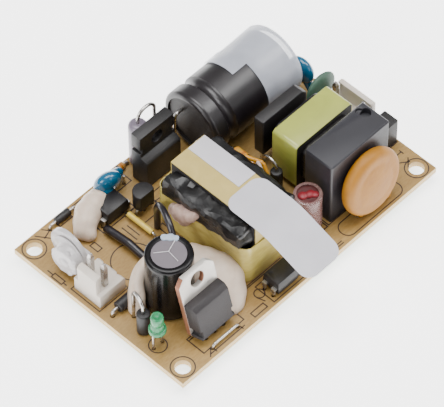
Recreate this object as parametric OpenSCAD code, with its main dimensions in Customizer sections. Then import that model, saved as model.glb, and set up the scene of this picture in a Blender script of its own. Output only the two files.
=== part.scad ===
// Open frame switching power supply on a single board.
// X runs along the board from the output end to the input end, Y from the front edge to the
// back edge, Z up. The origin is on the underside, midway between the four mounting holes.

/* [Board] */
// Length of the board along X
board_l = 78; // [78:0.5:110]
// Width of the board along Y
board_w = 50; // [50:0.5:66]
// Thickness of the board
board_t = 1.6; // [1:0.1:2.4]
// Diameter of the four mounting holes
mount_d = 3.5; // [3:0.1:4.4]
// Distance of each mounting hole from both edges
mount_inset = 3; // [2.6:0.1:4]

/* [Leads and solder] */
// How far the cut leads stand out below the board
lead_tail = 2.3; // [2:0.1:3.5]
// Diameter of thin round leads
thin_lead_d = 0.6; // [0.4:0.05:0.8]
// Diameter of thick round leads
thick_lead_d = 0.8; // [0.6:0.05:1]
// What a lead hole is wider than its lead
lead_hole_gap = 0.3; // [0.2:0.05:0.5]
// Base diameter of a solder joint
joint_d = 2; // [1.6:0.1:2.1]
// Height of a solder joint
joint_h = 1.2; // [0.8:0.1:1.6]

/* [Bulk capacitor] */
// Diameter over the sleeve of the lying capacitor
bulk_d = 16.3; // [12:0.1:17]
// Length of the lying capacitor
bulk_l = 25; // [20:0.5:26]
// Distance between its two leads
bulk_pitch = 7.5; // [5:0.5:9]
// Turn of the lying capacitor about its own axis, degrees
bulk_roll = 35; // [0:1:45]
// Thickness of the clear film round its far end
film_t = 0.25; // [0.1:0.05:0.5]
// Length of the film
film_l = 11; // [6:0.5:14]

/* [Output capacitor] */
// Diameter of the upright aluminium can
out_can_d = 10; // [8:0.1:10.5]
// Height of the can
out_can_h = 16.4; // [11:0.2:20]
// Wall of the black sleeve
sleeve_t = 0.15; // [0.1:0.05:0.3]

/* [Transistors] */
// Width of the three lead packages
package_w = 10.2; // [9.8:0.1:10.6]
// Height of the full pack body with its screw end
fullpack_h = 15; // [14:0.1:16]
// Thickness of the full pack body
fullpack_t = 4.6; // [4.3:0.1:5]
// Height of the rectifier's moulding
mould_h = 9; // [8.4:0.1:9.6]
// Thickness of the rectifier's metal tab
tab_t = 1.3; // [1:0.1:1.5]
// Lean of the rectifier towards the output capacitor, degrees
rectifier_lean = 14; // [6:1:14]
// Distance between neighbouring leads
lead_pitch = 2.54; // [2.5:0.01:2.6]

/* [Transformer] */
// Length of the core along Y
core_l = 24.2; // [22:0.2:24.6]
// Thickness of the core along X
core_t = 10; // [8:0.2:10.4]
// Height of the core
core_h = 16.6; // [14:0.2:20]
// Height of the core's lower face above the board
core_lift = 0.7; // [0.5:0.1:1.5]
// Thickness of the tape wound round the core
tape_t = 0.2; // [0.1:0.05:0.4]
// How far the wrapped winding bulges out of the core's face
winding_bulge = 4; // [2.8:0.1:4.4]

/* [Labels] */
// Width of the long label that hangs over the front edge
flag_w = 11; // [8:0.2:12]
// Length of the hanging part of the long label
flag_hang = 16; // [8:0.5:22]
// Thickness of the labels
label_t = 0.15; // [0.1:0.05:0.3]

/* [Input filter] */
// Length of the choke over its tape
choke_l = 17.3; // [14:0.1:17.6]
// Height of the choke over its tape
choke_h = 13.7; // [11:0.1:16]
// Width of the tape band round the choke
choke_band = 7.1; // [5:0.1:7.4]
// Length of the box capacitor
box_cap_l = 18; // [15:0.1:18.4]
// Width of the box capacitor
box_cap_w = 7.8; // [6:0.1:8]
// Height of the box capacitor
box_cap_h = 18.5; // [14:0.1:20]
// Diameter of the orange varistor disc
varistor_d = 16.2; // [12:0.1:17]
// Lean of the varistor towards the box capacitor, degrees
varistor_lean = 8; // [0:1:9]
// Diameter of the green thermistor disc
thermistor_d = 8.6; // [7.4:0.1:8.8]
// Diameter of the drum inductor over its sleeve
drum_d = 6.5; // [5:0.1:7]
// Height of the drum inductor
drum_h = 11.4; // [8:0.1:13]

/* [Connectors] */
// Distance between neighbouring connector posts
post_pitch = 3.96; // [3.5:0.01:5]
// Width of a square connector post
post_w = 1.1; // [0.9:0.05:1.2]
// Depth of a connector housing along X
housing_d = 7.5; // [6.8:0.1:7.6]
// Height of the housing's base
housing_h = 3.8; // [3:0.1:4.5]
// Height of the latch wall above the board
latch_h = 8.8; // [7:0.1:10]

/* [Hidden] */
$fn = 48;

// Edges that the parts are placed from
out_edge = -board_l / 2;
in_edge = board_l / 2;
front_edge = -board_w / 2;
back_edge = board_w / 2;
// Play between neighbours that nearly touch
play = 0.1;
// How far a cutter runs past what it cuts
over = 1;

// What a solder joint is wider than its lead at the tip
joint_tip = 0.3;

// Bulk capacitor
bulk_r = bulk_d / 2;
bulk_x = in_edge - 32.8;
bulk_y = back_edge - bulk_r - play;
bulk_axis_h = bulk_r + film_t + play;
bulk_rim_r = 1;
bulk_mouth_r = bulk_r - 1.3;
bulk_mouth_depth = 1.6;
bulk_bung_sink = 0.5;
bulk_groove_at = 5;
bulk_groove_r = 1.6;
bulk_groove_depth = 0.75;
bulk_lead_reach = 1.7;
bend_r = 1;
// Level stretch at the top of a turned over wire
crown_l = 0.3;
film_far_over = 1.6;
film_tab_l = 5.2;
film_tab_from = 100;
film_tab_to = 190;

// Output capacitor
out_cap = [out_edge + 13.1, front_edge + 16.5];
out_pitch = 5;
out_lift = 0.4;
out_sleeve_r = out_can_d / 2 + sleeve_t;
sleeve_lip = 1.1;
vent_w = 0.35;
vent_depth = 0.2;
vent_turns = [20, 140, 262];
vent_shift = [0.4, 0.5];
vent_in = 0.8;

// Switching transistor, full pack
switch_pos = [-2.9, back_edge - 4.6];
switch_h = 0.3;
switch_block_h = 8.3;
switch_tab_t = 2.7;
switch_hole_d = 3.3;
switch_hole_at = 3.2;
switch_notch = 1.3;
switch_notch_at = 4.6;
mould_chamfer = 0.5;
switch_lead_back = 2.7;
flat_lead_w = 0.8;
flat_lead_t = 0.5;

// Output rectifier with a metal tab
rect_pos = [out_edge + 14.1, front_edge + 5.1];
rect_h = 1.95;
rect_front = 1.95;
rect_back = 1.25;
tab_h = 15.3;
tab_hole_d = 3.7;
tab_hole_at = 12.6;
tab_corner = 1.6;
rect_notch = 1.6;
rect_taper = 0.3;
rect_chamfer = 1;
lead_knee_h = 0.5;
rect_lead_y = rect_pos[1] - (rect_h - lead_knee_h) * tan(rectifier_lean);

// Shunt regulator, small round package with a flat
reg_pos = [-12.5, back_edge - 12.4];
reg_r = 2.35;
reg_flat = 1.3;
reg_body_h = 4.5;
reg_lift = 2.2;
reg_inner_pitch = 1.27;
reg_lead_w = 0.45;

// Bridge rectifier
bridge_pos = [in_edge - 18.8, 3.5];
bridge_l = 13.6;
bridge_t = 2.8;
bridge_body_h = 10.9;
bridge_lift = 4.1;
bridge_pitch = 3.81;
bridge_corner = 0.4;
bridge_key = 2;

// Axial parts: middle of the body, half span, body length, body diameter, axis height
axial_lift = 0.15;
output_diode_pos = [out_edge + 6.8, front_edge + 22.7];
output_diode_span = 9.2;
output_diode_l = 6.2;
output_diode_d = 2.6;
signal_diode_pos = [out_edge + 12.7, back_edge - 1.7];
signal_diode_span = 7.6;
signal_diode_l = 3.9;
signal_diode_d = 1.8;
sense_pos = [-9.1, back_edge - 1.15];
sense_span = 6;
sense_l = 3.5;
sense_d = 1.7;
snubber_pos = [8.3, 2.6];
snubber_span = 9.6;
snubber_l = 6.2;
snubber_d = 2.4;
snubber_axis_h = 7.4;

// Upright axial parts: body axis, body foot height, body length, body diameter, hairpin offset
damping_pos = [out_edge + 3.9, front_edge + 15.2];
damping_lift = 0.3;
damping_l = 6.2;
damping_d = 3;
damping_foot = [1.3, 4.2];
damping_top = 1.1;
clamp_pos = [10.7, -4.4];
clamp_lift = 0.6;
clamp_l = 6.4;
clamp_d = 2.7;
clamp_foot = [0, 3.8];
clamp_top = 0.9;
startup_pos = [-3.7, back_edge - 2.25];
startup_lift = 0.5;
startup_l = 12.4;
startup_d = 4.3;
startup_foot = [5, 0];
startup_top = 0.9;
startup_round = 1.2;

// Disc capacitors: middle of the disc
disc_d = 7;
disc_t = 3.4;
disc_h = 4.1;
disc_pitch = 8;
front_disc_turn = -15;
front_disc_lean = 20;
neck_d = 1.7;
front_neck_low = 0.6;
front_neck_h = 3.1;
front_disc_reach = 2.6;
rear_disc_h = 6.7;
rear_neck_low = 1;
rear_neck_h = 4;
rear_disc_reach = 3.4;
front_disc = [-14.3, back_edge - 3.3];
rear_disc = [in_edge - 4.2, back_edge - 14];
rear_pitch = 7.5;

// Four lead optocouplers
opto_l = 6.4;
opto_w = 4.6;
opto_t = 3.5;
opto_lift = 0.5;
opto_row = 7.62;
opto_lead_w = 0.5;
opto_shoulder_w = 1.2;
opto_lead_t = 0.25;
opto_foot_h = 0.9;
opto_dot_in = 1.2;
opto_dot_d = 0.9;
opto_dot_depth = 0.2;
draft = 0.2;
feedback_pos = [-18, back_edge - 8.1];
protection_pos = [-6.1, front_edge + 3.3];

// Trimmer: standing disc that faces the output end
trimmer_pos = [out_edge + 5.8, back_edge - 11];
trimmer_r = 5;
trimmer_plate_t = 1.1;
trimmer_rotor_r = 4.6;
trimmer_rotor_t = 1.9;
trimmer_rotor_edge = 1.1;
trimmer_h = trimmer_r + play;
trimmer_pitch = 5;
trimmer_wiper = 2.5;
trimmer_foot_h = 1.2;
trimmer_foot_l = 4;
trimmer_foot_w = 6.8;
trimmer_foot_t = 2.6;

// Connectors
output_ways = 2;
input_ways = 3;
output_conn = [out_edge + 5, front_edge + 29.7];
input_conn = [in_edge - 4, front_edge + 22.1];
input_pitch = (input_ways - 1) * post_pitch;
latch_back = 3.3;
latch_t = 1.2;
latch_cut = 1.1;
latch_lip = 0.6;
latch_hook = 0.4;
key_w = 0.9;
housing_chamfer = 0.5;
post_top = 10.6;
post_tip = 1;

// Indicator lamp
lamp_pos = [out_edge + 3.4, front_edge + 10.6];
lamp_lift = 5.2;
lamp_r = 1.5;
lamp_flange_r = 1.9;
lamp_flange_h = 1;
lamp_h = 5.4;

// Jumpers
jumper_pos = [out_edge + 14.5, front_edge + 1.8];
jumper_span = 7.6;
jumper_lift = 0.8;
sleeved_h = 1.4;
yellow_jumper_x = -16.3;
yellow_jumper_y = [5.4, back_edge - 10.8];
yellow_sleeve_d = 1.3;
black_jumper_x = -21.9;
black_jumper_y = [5, back_edge - 10.8];
black_sleeve_d = 1.6;

// Secondary lead, an insulated wire that arches to the output side
secondary_d = 1.5;
secondary_pos = [-13.9, 7.1];
secondary_foot = [-4.6, -9.9];
secondary_lift = 0.4;
secondary_rise = 5.5;

// Transformer
core_x = -3.8;
core_y = -4.55;
core_back_t = 3.4;
core_outer_leg = 3.6;
core_mid_leg = 7;
bobbin_wall = 0.8;
bobbin_flange_h = 1;
bobbin_rail = 2.6;
bobbin_rail_l = 26;
bobbin_rail_shift = 0.7;
bobbin_rail_lift = 0.3;
skirt_h = 9.3;
skirt_t = 0.25;
skirt_corner = 2;
skirt_gap = 0.4;
wrap_t = 1.1;
wrap_h = 6.9;
wrap_corner = 2.6;
pin_d = 0.7;
pin_count = 5;
pin_pitch = 4;
core_top = core_lift + core_h;
core_window_h = core_h - 2 * core_back_t;
core_window_l = (core_l - 2 * core_outer_leg - core_mid_leg) / 2;

// Labels
label_seat = core_top + tape_t;
part_label_l = 14.8;
part_label_w = 5;
flag_on_top = 9;
flag_corner = 3;
flag_slope = 20;
flag_bend_r = 14;

// Drum inductor
drum_pos = [8.2, front_edge + 9.2];
drum_sleeve_t = 0.25;
drum_flange_t = 1.6;
drum_waist = 0.35;
drum_sink = 0.5;
drum_lift = 0.3;
drum_pitch = 3.5;

// Common mode choke
choke_pos = [in_edge - 16.95, -4.05];
choke_lift = 1.3;
choke_tape_t = 0.25;
choke_corner = 1;
choke_leg_w = 3.6;
choke_pad_t = 1.3;
choke_pad_in = 1.2;
choke_pad_corner = 2.2;
choke_base_margin = [3, 2];
choke_base_lift = 0.1;
choke_pin_pitch = [10.6, 6];

// Box capacitor, fuse, varistor, thermistor
box_cap = [in_edge - 17.6, front_edge + 10.3];
box_cap_pitch = 15;
box_corner = 0.5;
case_bevel = 0.3;
gate_d = 1.9;
gate_depth = 0.6;
gate_in = [2.6, 1.5];
varistor_pos = [in_edge - 17.4, front_edge + 3.5];
varistor_h = 8.6;
varistor_t = 4.2;
varistor_pitch = 7.5;
// How far the leads of the coated discs run up into the coating
varistor_reach = 3;
thermistor_reach = 4;
fuse_pos = [in_edge - 4.35, front_edge + 13];
fuse_l = 8.1;
fuse_w = 4;
fuse_h = 7.4;
fuse_pitch = 5.08;
fuse_corner = 0.35;
thermistor_pos = [in_edge - 4.5, 5];
thermistor_t = 2.6;
thermistor_h = 5.6;
thermistor_pitch = 5;

// Silicone: heaps of balls, [x, y, height of the middle, radius]
heap_max = 11;
disc_heap = [
    [-17.6, back_edge - 3.9, 1.4, 2.4], [-21.6, back_edge - 5.6, 2, 3],
    [-26, back_edge - 6.2, 1, 2.6], [-24.8, back_edge - 9.4, 0.6, 2.2]
];
dome_heap = [
    [-16.6, front_edge + 8.2, 2, 3.4], [-17.4, front_edge + 11, 3.6, 4.1],
    [-15.6, front_edge + 14.2, 4.4, 4.4], [-17.6, front_edge + 17.2, 4.6, 3.8]
];
back_heap = [
    [-19.4, front_edge + 22.9, 6.4, 2.7], [-20.4, front_edge + 23.5, 1.4, 2.6],
    [-18, front_edge + 19.3, 5, 3]
];
wall_heap = [
    [-23.6, front_edge + 23.8, 5.8, 2.6], [-27.2, front_edge + 23.5, 2.6, 2.3],
    [-20.8, front_edge + 23.5, 5.8, 2.6]
];
foot_heap = [[-27.4, front_edge + 23.5, 2.6, 2.2], [-30.2, front_edge + 21.5, 0.6, 1.8]];

// Parts soldered flat to the underside
controller_pos = [-3.9, 1.5];
controller_l = 4.9;
controller_w = 3.9;
controller_t = 1.5;
controller_span = 6;
controller_pitch = 1.27;
controller_foot = [0.4, 1.2, 0.6];
chip_l = 2;
chip_w = 1.25;
chip_t = 0.55;
chip_spots = [[-5.5, -6], [-1.5, -6], [11, 12], [-25, 12], [-25, 9], [-31, -16], [-4, 10], [14.5, 1]];

// Lead positions, [x, y], as functions of a middle and a pitch
function pair_x(c, pitch) = [[c[0] - pitch / 2, c[1]], [c[0] + pitch / 2, c[1]]];
function pair_y(c, pitch) = [[c[0], c[1] - pitch / 2], [c[0], c[1] + pitch / 2]];
function row_x(c, pitch, n) = [for (i = [0:n - 1]) [c[0] + (i - (n - 1) / 2) * pitch, c[1]]];
function four(c, px, py) = [for (sx = [-1, 1], sy = [-1, 1]) [c[0] + sx * px / 2, c[1] + sy * py / 2]];
function across(w, t) = sqrt(w * w + t * t);

bulk_legs = [for (s = [-1, 1]) [bulk_x - bulk_lead_reach, bulk_y + s * bulk_pitch / 2 * cos(bulk_roll)]];
out_legs = pair_y(out_cap, out_pitch);
switch_legs = row_x([switch_pos[0], switch_pos[1] - switch_lead_back], lead_pitch, 3);
rect_legs = row_x([rect_pos[0], rect_lead_y], lead_pitch, 3);
reg_legs = row_x(reg_pos, 2 * reg_inner_pitch, 3);
bridge_legs = row_x(bridge_pos, bridge_pitch, 4);
output_diode_legs = pair_x(output_diode_pos, output_diode_span);
signal_diode_legs = pair_x(signal_diode_pos, signal_diode_span);
sense_legs = pair_x(sense_pos, sense_span);
snubber_legs = pair_y(snubber_pos, snubber_span);
damping_legs = [damping_pos, damping_pos + damping_foot];
clamp_legs = [clamp_pos, clamp_pos + clamp_foot];
startup_legs = [startup_pos, startup_pos + startup_foot];
front_disc_legs = [
    for (s = [-1, 1]) front_disc + s * disc_pitch / 2 * [cos(front_disc_turn), sin(front_disc_turn)]
];
rear_disc_legs = pair_y(rear_disc, rear_pitch);
feedback_legs = four(feedback_pos, opto_row, lead_pitch);
protection_legs = four(protection_pos, opto_row, lead_pitch);
trimmer_legs = concat(pair_y(trimmer_pos, trimmer_pitch), [trimmer_pos + [trimmer_wiper, 0]]);
output_post_legs = pair_y(output_conn, post_pitch);
input_post_legs = pair_y(input_conn, input_pitch);
lamp_legs = pair_x(lamp_pos, lead_pitch);
jumper_legs = pair_x(jumper_pos, jumper_span);
yellow_legs = [for (y = yellow_jumper_y) [yellow_jumper_x, y]];
black_legs = [for (y = black_jumper_y) [black_jumper_x, y]];
secondary_legs = [secondary_pos, secondary_pos + secondary_foot];
rail_x = core_t / 2 + play + bobbin_rail / 2;
transformer_pin_legs = [
    for (s = [-1, 1], i = [0:pin_count - 1])
        [core_x + s * rail_x, core_y + bobbin_rail_shift + (i - (pin_count - 1) / 2) * pin_pitch]
];
choke_pin_legs = four(choke_pos, choke_pin_pitch[0], choke_pin_pitch[1]);
drum_legs = pair_x(drum_pos, drum_pitch);
box_cap_legs = pair_x(box_cap, box_cap_pitch);
varistor_legs = pair_x(varistor_pos, varistor_pitch);
fuse_legs = pair_x(fuse_pos, fuse_pitch);
thermistor_legs = pair_x(thermistor_pos, thermistor_pitch);

// Every lead that passes through the board, with the diameter round its section
LEGS = [
    [bulk_legs, thick_lead_d], [out_legs, thin_lead_d],
    [switch_legs, across(flat_lead_w, flat_lead_t)], [rect_legs, across(flat_lead_w, flat_lead_t)],
    [reg_legs, across(reg_lead_w, reg_lead_w)], [bridge_legs, thick_lead_d],
    [output_diode_legs, thick_lead_d], [signal_diode_legs, thin_lead_d], [sense_legs, thin_lead_d],
    [snubber_legs, thin_lead_d], [damping_legs, thick_lead_d], [clamp_legs, thick_lead_d],
    [startup_legs, thick_lead_d], [front_disc_legs, thin_lead_d], [rear_disc_legs, thin_lead_d],
    [feedback_legs, across(opto_lead_w, opto_lead_t)], [protection_legs, across(opto_lead_w, opto_lead_t)],
    [trimmer_legs, thin_lead_d], [output_post_legs, across(post_w, post_w)],
    [input_post_legs, across(post_w, post_w)], [lamp_legs, thin_lead_d],
    [jumper_legs, thin_lead_d],
    [yellow_legs, thin_lead_d], [black_legs, thin_lead_d], [secondary_legs, thin_lead_d],
    [transformer_pin_legs, pin_d], [choke_pin_legs, pin_d], [drum_legs, thin_lead_d],
    [box_cap_legs, thick_lead_d], [varistor_legs, thick_lead_d], [fuse_legs, thin_lead_d],
    [thermistor_legs, thick_lead_d]
];

// Shared shapes ------------------------------------------------------------

// Raises what follows to a height over the board's top face
module over_board(h = 0) {
    translate([0, 0, board_t + h]) children();
}

// Straight round lead, from its cut end below the board to a height over the board
module lead(p, d, h) {
    translate([p[0], p[1], -lead_tail]) cylinder(d = d, h = lead_tail + board_t + h, $fn = 24);
}

// Quarter bend: its foot points down at distance r in direction a, its head leaves level
module elbow(r, d, a) {
    rotate([0, 0, a]) rotate([90, 0, 0]) rotate_extrude(angle = 90)
        translate([r, 0]) circle(d = d, $fn = 24);
}

// Wire that comes up out of the top of an upright body, turns over and goes down beside it
module hairpin(p, foot, from_h, rise, d, foot_h = -board_t - lead_tail) {
    span = norm(foot);
    bend = (span - crown_l) / 2;
    over_board(from_h + rise) translate(p) rotate([0, 0, atan2(foot[1], foot[0])]) {
        translate([0, 0, -rise]) cylinder(d = d, h = rise, $fn = 24);
        translate([bend, 0, 0]) elbow(bend, d, 180);
        translate([bend, 0, bend]) rotate([0, 90, 0]) cylinder(d = d, h = crown_l, $fn = 24);
        translate([span - bend, 0, 0]) elbow(bend, d, 0);
        translate([span, 0, foot_h - from_h - rise])
            cylinder(d = d, h = from_h + rise - foot_h, $fn = 24);
    }
}

// Wire that rises from two holes and runs level between them, with a gap for a body
module staple(legs, h, d, gap = 0) {
    run = legs[1] - legs[0];
    r = thick_lead_d;
    span = norm(run);
    for (p = legs) lead(p, d, h - r);
    over_board(h - r) translate(legs[0]) rotate([0, 0, atan2(run[1], run[0])]) {
        translate([r, 0, 0]) elbow(r, d, 180);
        translate([span - r, 0, 0]) elbow(r, d, 0);
        for (x = (gap == 0) ? [r] : [r, (span + gap) / 2])
            translate([x, 0, r]) rotate([0, 90, 0])
                cylinder(d = d, h = (gap == 0) ? span - 2 * r : (span - gap) / 2 - r, $fn = 24);
    }
}

// Cylinder lying level between two holes, centred between them
module lying(legs, h, d, l) {
    run = legs[1] - legs[0];
    over_board(h) translate((legs[0] + legs[1]) / 2) rotate([0, 0, atan2(run[1], run[0])])
        rotate([0, 90, 0]) cylinder(d = d, h = l, center = true);
}

// Rectangle with round corners
module rounded(l, w, r) {
    square([l, w - 2 * r], center = true);
    square([l - 2 * r, w], center = true);
    for (sx = [-1, 1], sy = [-1, 1])
        translate([sx * (l / 2 - r), sy * (w / 2 - r)]) circle(r = r, $fn = 32);
}

// Profile drawn in Y and Z, drawn out along X about a middle
module yz_bar(x, w) {
    translate([x - w / 2, 0, 0]) rotate([90, 0, 90]) linear_extrude(w) children();
}

// Profile drawn in X and Z, drawn out along Y about a middle
module xz_bar(y, w) {
    translate([0, y + w / 2, 0]) rotate([90, 0, 0]) linear_extrude(w) children();
}

// Board and joints ---------------------------------------------------------

module circuit_board() {
    color("tan") difference() {
        translate([out_edge, front_edge, 0]) cube([board_l, board_w, board_t]);
        for (sx = [-1, 1], sy = [-1, 1])
            translate([sx * (in_edge - mount_inset), sy * (back_edge - mount_inset), -over])
                cylinder(d = mount_d, h = board_t + 2 * over);
        for (group = LEGS, p = group[0])
            translate([p[0], p[1], -over])
                cylinder(d = group[1] + lead_hole_gap, h = board_t + 2 * over, $fn = 24);
    }
}

module solder_joints() {
    color("silver") for (group = LEGS, p = group[0]) translate([p[0], p[1], -joint_h]) difference() {
        cylinder(d1 = group[1] + joint_tip, d2 = group[1] + joint_d - thin_lead_d, h = joint_h, $fn = 24);
        translate([0, 0, -over]) cylinder(d = group[1], h = joint_h + 2 * over, $fn = 24);
    }
}

// Bulk capacitor -----------------------------------------------------------

module bulk_place() {
    over_board(bulk_axis_h) translate([bulk_x, bulk_y, 0]) rotate([0, 90, 0]) children();
}

module bulk_capacitor() {
    color("#202024") bulk_place() rotate_extrude() difference() {
        square([bulk_r, bulk_l]);
        translate([-over, -over]) square([bulk_mouth_r + over, bulk_mouth_depth + over]);
        for (end = [0, bulk_l]) translate([bulk_r - bulk_rim_r, abs(end - bulk_rim_r)]) difference() {
            translate([0, end == 0 ? -bulk_rim_r : 0]) square(bulk_rim_r);
            circle(r = bulk_rim_r);
        }
        translate([bulk_r + bulk_groove_r - bulk_groove_depth, bulk_groove_at]) circle(r = bulk_groove_r);
    }
}

module bulk_capacitor_bung() {
    color("#3a3a3c") bulk_place() translate([0, 0, bulk_bung_sink])
        cylinder(r = bulk_mouth_r, h = bulk_mouth_depth - bulk_bung_sink);
}

module bulk_capacitor_film() {
    whole_l = film_l + film_tab_l;
    color("#e8e8ea") bulk_place() translate([0, 0, bulk_l + film_far_over - whole_l]) difference() {
        cylinder(r = bulk_r + film_t, h = whole_l);
        translate([0, 0, -over]) cylinder(r = bulk_r, h = whole_l + 2 * over);
        rotate([0, 0, film_tab_to]) rotate_extrude(angle = 360 - film_tab_to + film_tab_from)
            translate([bulk_r - over, -over]) square([film_t + 2 * over, film_tab_l + over]);
    }
}

// Output capacitor ---------------------------------------------------------

module output_capacitor_can() {
    color("silver") over_board(out_lift + sleeve_t) translate(out_cap) difference() {
        cylinder(d = out_can_d, h = out_can_h);
        for (a = vent_turns)
            translate([vent_shift[0], vent_shift[1], out_can_h - vent_depth]) rotate([0, 0, a])
                translate([0, -vent_w / 2, 0]) cube([out_can_d / 2 - sleeve_lip - vent_in, vent_w, over]);
    }
}

module output_capacitor_sleeve() {
    color("#1c1c1e") over_board(out_lift) translate(out_cap) difference() {
        cylinder(r = out_sleeve_r, h = out_can_h + 2 * sleeve_t);
        translate([0, 0, sleeve_t]) cylinder(d = out_can_d, h = out_can_h);
        translate([0, 0, -over]) cylinder(d = out_can_d - 2 * sleeve_lip, h = out_can_h + 2 * over);
    }
}

module capacitor_leads() {
    color("silver") {
        for (p = out_legs) lead(p, thin_lead_d, out_lift + sleeve_t);
        for (s = [-1, 1]) {
            p = bulk_legs[(s + 1) / 2];
            h = bulk_axis_h + s * bulk_pitch / 2 * sin(bulk_roll);
            lead(p, thick_lead_d, h - bend_r);
            over_board(h - bend_r) translate([p[0] + bend_r, p[1], 0]) {
                elbow(bend_r, thick_lead_d, 180);
                translate([0, 0, bend_r]) rotate([0, 90, 0])
                    cylinder(d = thick_lead_d, h = bulk_lead_reach - bend_r + bulk_bung_sink, $fn = 24);
            }
        }
    }
}

// Three lead packages ------------------------------------------------------

module switch_transistor() {
    color("#1b1b1d") over_board(switch_h) translate([switch_pos[0], switch_pos[1], 0]) difference() {
        yz_bar(0, package_w) polygon([
            [-fullpack_t, 0], [0, 0], [0, fullpack_h], [-switch_tab_t, fullpack_h],
            [-switch_tab_t, switch_block_h + mould_chamfer],
            [-fullpack_t + mould_chamfer, switch_block_h], [-fullpack_t, switch_block_h - mould_chamfer]
        ]);
        translate([0, over, fullpack_h - switch_hole_at]) rotate([90, 0, 0])
            cylinder(d = switch_hole_d, h = fullpack_t + 2 * over);
        for (s = [-1, 1]) translate([s * package_w / 2, 0, fullpack_h - switch_notch_at])
            cube([switch_notch, 2 * fullpack_t + over, switch_notch], center = true);
    }
}

module rect_place() {
    over_board(rect_h) translate([rect_pos[0], rect_pos[1], 0]) rotate([-rectifier_lean, 0, 0]) children();
}

module rectifier_body() {
    depth = rect_front + rect_back;
    color("#2a2a2c") rect_place() difference() {
        intersection() {
            linear_extrude(mould_h) polygon([
                [-package_w / 2 + rect_taper, -rect_front], [package_w / 2 - rect_taper, -rect_front],
                [package_w / 2, rect_back], [-package_w / 2, rect_back]
            ]);
            yz_bar(0, package_w) polygon([
                [-rect_front, 0], [rect_back, 0], [rect_back, mould_h],
                [-rect_front + rect_chamfer, mould_h], [-rect_front, mould_h - rect_chamfer]
            ]);
        }
        for (s = [-1, 1]) translate([s * package_w / 2, rect_back - depth / 2, rect_notch])
            cube([rect_notch, depth + over, rect_notch], center = true);
    }
}

module rectifier_tab() {
    w = package_w / 2;
    color("#d8d4c8") rect_place() translate([0, rect_back + tab_t, 0]) rotate([90, 0, 0])
        linear_extrude(tab_t) difference() {
            polygon([
                [-w, 0], [w, 0], [w, tab_h - tab_corner], [w - tab_corner, tab_h],
                [-w + tab_corner, tab_h], [-w, tab_h - tab_corner]
            ]);
            translate([0, tab_hole_at]) circle(d = tab_hole_d);
        }
}

module shunt_regulator() {
    color("#1f1f21") over_board(reg_lift) translate(reg_pos) linear_extrude(reg_body_h) difference() {
        circle(r = reg_r);
        translate([-reg_r - over, -reg_r - reg_flat]) square([2 * (reg_r + over), reg_r]);
    }
}

module transistor_leads() {
    knee = board_t + lead_knee_h;
    t = flat_lead_t / 2;
    color("silver") {
        for (p = switch_legs) translate([p[0] - flat_lead_w / 2, p[1] - t, -lead_tail])
            cube([flat_lead_w, flat_lead_t, lead_tail + board_t + switch_h]);
        for (p = rect_legs) yz_bar(p[0], flat_lead_w) polygon([
            [p[1] - t, -lead_tail], [p[1] + t, -lead_tail], [p[1] + t, knee],
            [rect_pos[1] + t * cos(rectifier_lean), board_t + rect_h - t * sin(rectifier_lean)],
            [rect_pos[1] - t * cos(rectifier_lean), board_t + rect_h + t * sin(rectifier_lean)],
            [p[1] - t, knee]
        ]);
        for (leg = [-1:1]) xz_bar(reg_pos[1], reg_lead_w) translate([reg_pos[0], 0]) polygon([
            for (s = [-1, 1], q = (s < 0)
                ? [[2, -lead_tail], [2, knee], [1, board_t + reg_lift]]
                : [[1, board_t + reg_lift], [2, knee], [2, -lead_tail]])
                [leg * q[0] * reg_inner_pitch + s * reg_lead_w / 2, q[1]]
        ]);
    }
}

module bridge_rectifier() {
    color("#222226") over_board(bridge_lift) translate([bridge_pos[0], bridge_pos[1], 0])
        difference() {
            linear_extrude(bridge_body_h) rounded(bridge_l, bridge_t, bridge_corner);
            translate([bridge_l / 2, 0, bridge_body_h]) rotate([0, 45, 0])
                cube([bridge_key, 2 * bridge_t, bridge_key], center = true);
        }
}

// Diodes and resistors -----------------------------------------------------

module output_diode() {
    color("#1a1a1c")
        lying(output_diode_legs, axial_lift + output_diode_d / 2, output_diode_d, output_diode_l);
}

module signal_diode() {
    color("#1a1a1c")
        lying(signal_diode_legs, axial_lift + signal_diode_d / 2, signal_diode_d, signal_diode_l);
}

module sense_resistor() {
    color("#c9a36a") lying(sense_legs, axial_lift + sense_d / 2, sense_d, sense_l);
}

module snubber_resistor() {
    color("#caa74a") lying(snubber_legs, snubber_axis_h, snubber_d, snubber_l);
}

module damping_diode() {
    color("#1a1a1c") over_board(damping_lift) translate(damping_pos) cylinder(d = damping_d, h = damping_l);
}

module clamp_diode() {
    color("#232326") over_board(clamp_lift) translate(clamp_pos) cylinder(d = clamp_d, h = clamp_l);
}

module startup_resistor() {
    color("#a9a3b0") over_board(startup_lift) translate(startup_pos) rotate_extrude() {
        square([startup_d / 2, startup_l - startup_round]);
        square([startup_d / 2 - startup_round, startup_l]);
        translate([startup_d / 2 - startup_round, startup_l - startup_round]) intersection() {
            circle(r = startup_round);
            square(startup_round);
        }
    }
}

module axial_leads() {
    color("silver") {
        staple(output_diode_legs, axial_lift + output_diode_d / 2, thick_lead_d, output_diode_l);
        staple(signal_diode_legs, axial_lift + signal_diode_d / 2, thin_lead_d, signal_diode_l);
        staple(sense_legs, axial_lift + sense_d / 2, thin_lead_d, sense_l);
        staple(snubber_legs, snubber_axis_h, thin_lead_d, snubber_l);
        lead(damping_pos, thick_lead_d, damping_lift);
        hairpin(damping_pos, damping_foot, damping_lift + damping_l, damping_top, thick_lead_d);
        lead(clamp_pos, thick_lead_d, clamp_lift);
        hairpin(clamp_pos, clamp_foot, clamp_lift + clamp_l, clamp_top, thick_lead_d);
        lead(startup_pos, thick_lead_d, startup_lift);
        hairpin(startup_pos, startup_foot, startup_lift + startup_l, startup_top, thick_lead_d);
    }
}

// Disc parts ---------------------------------------------------------------

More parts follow.
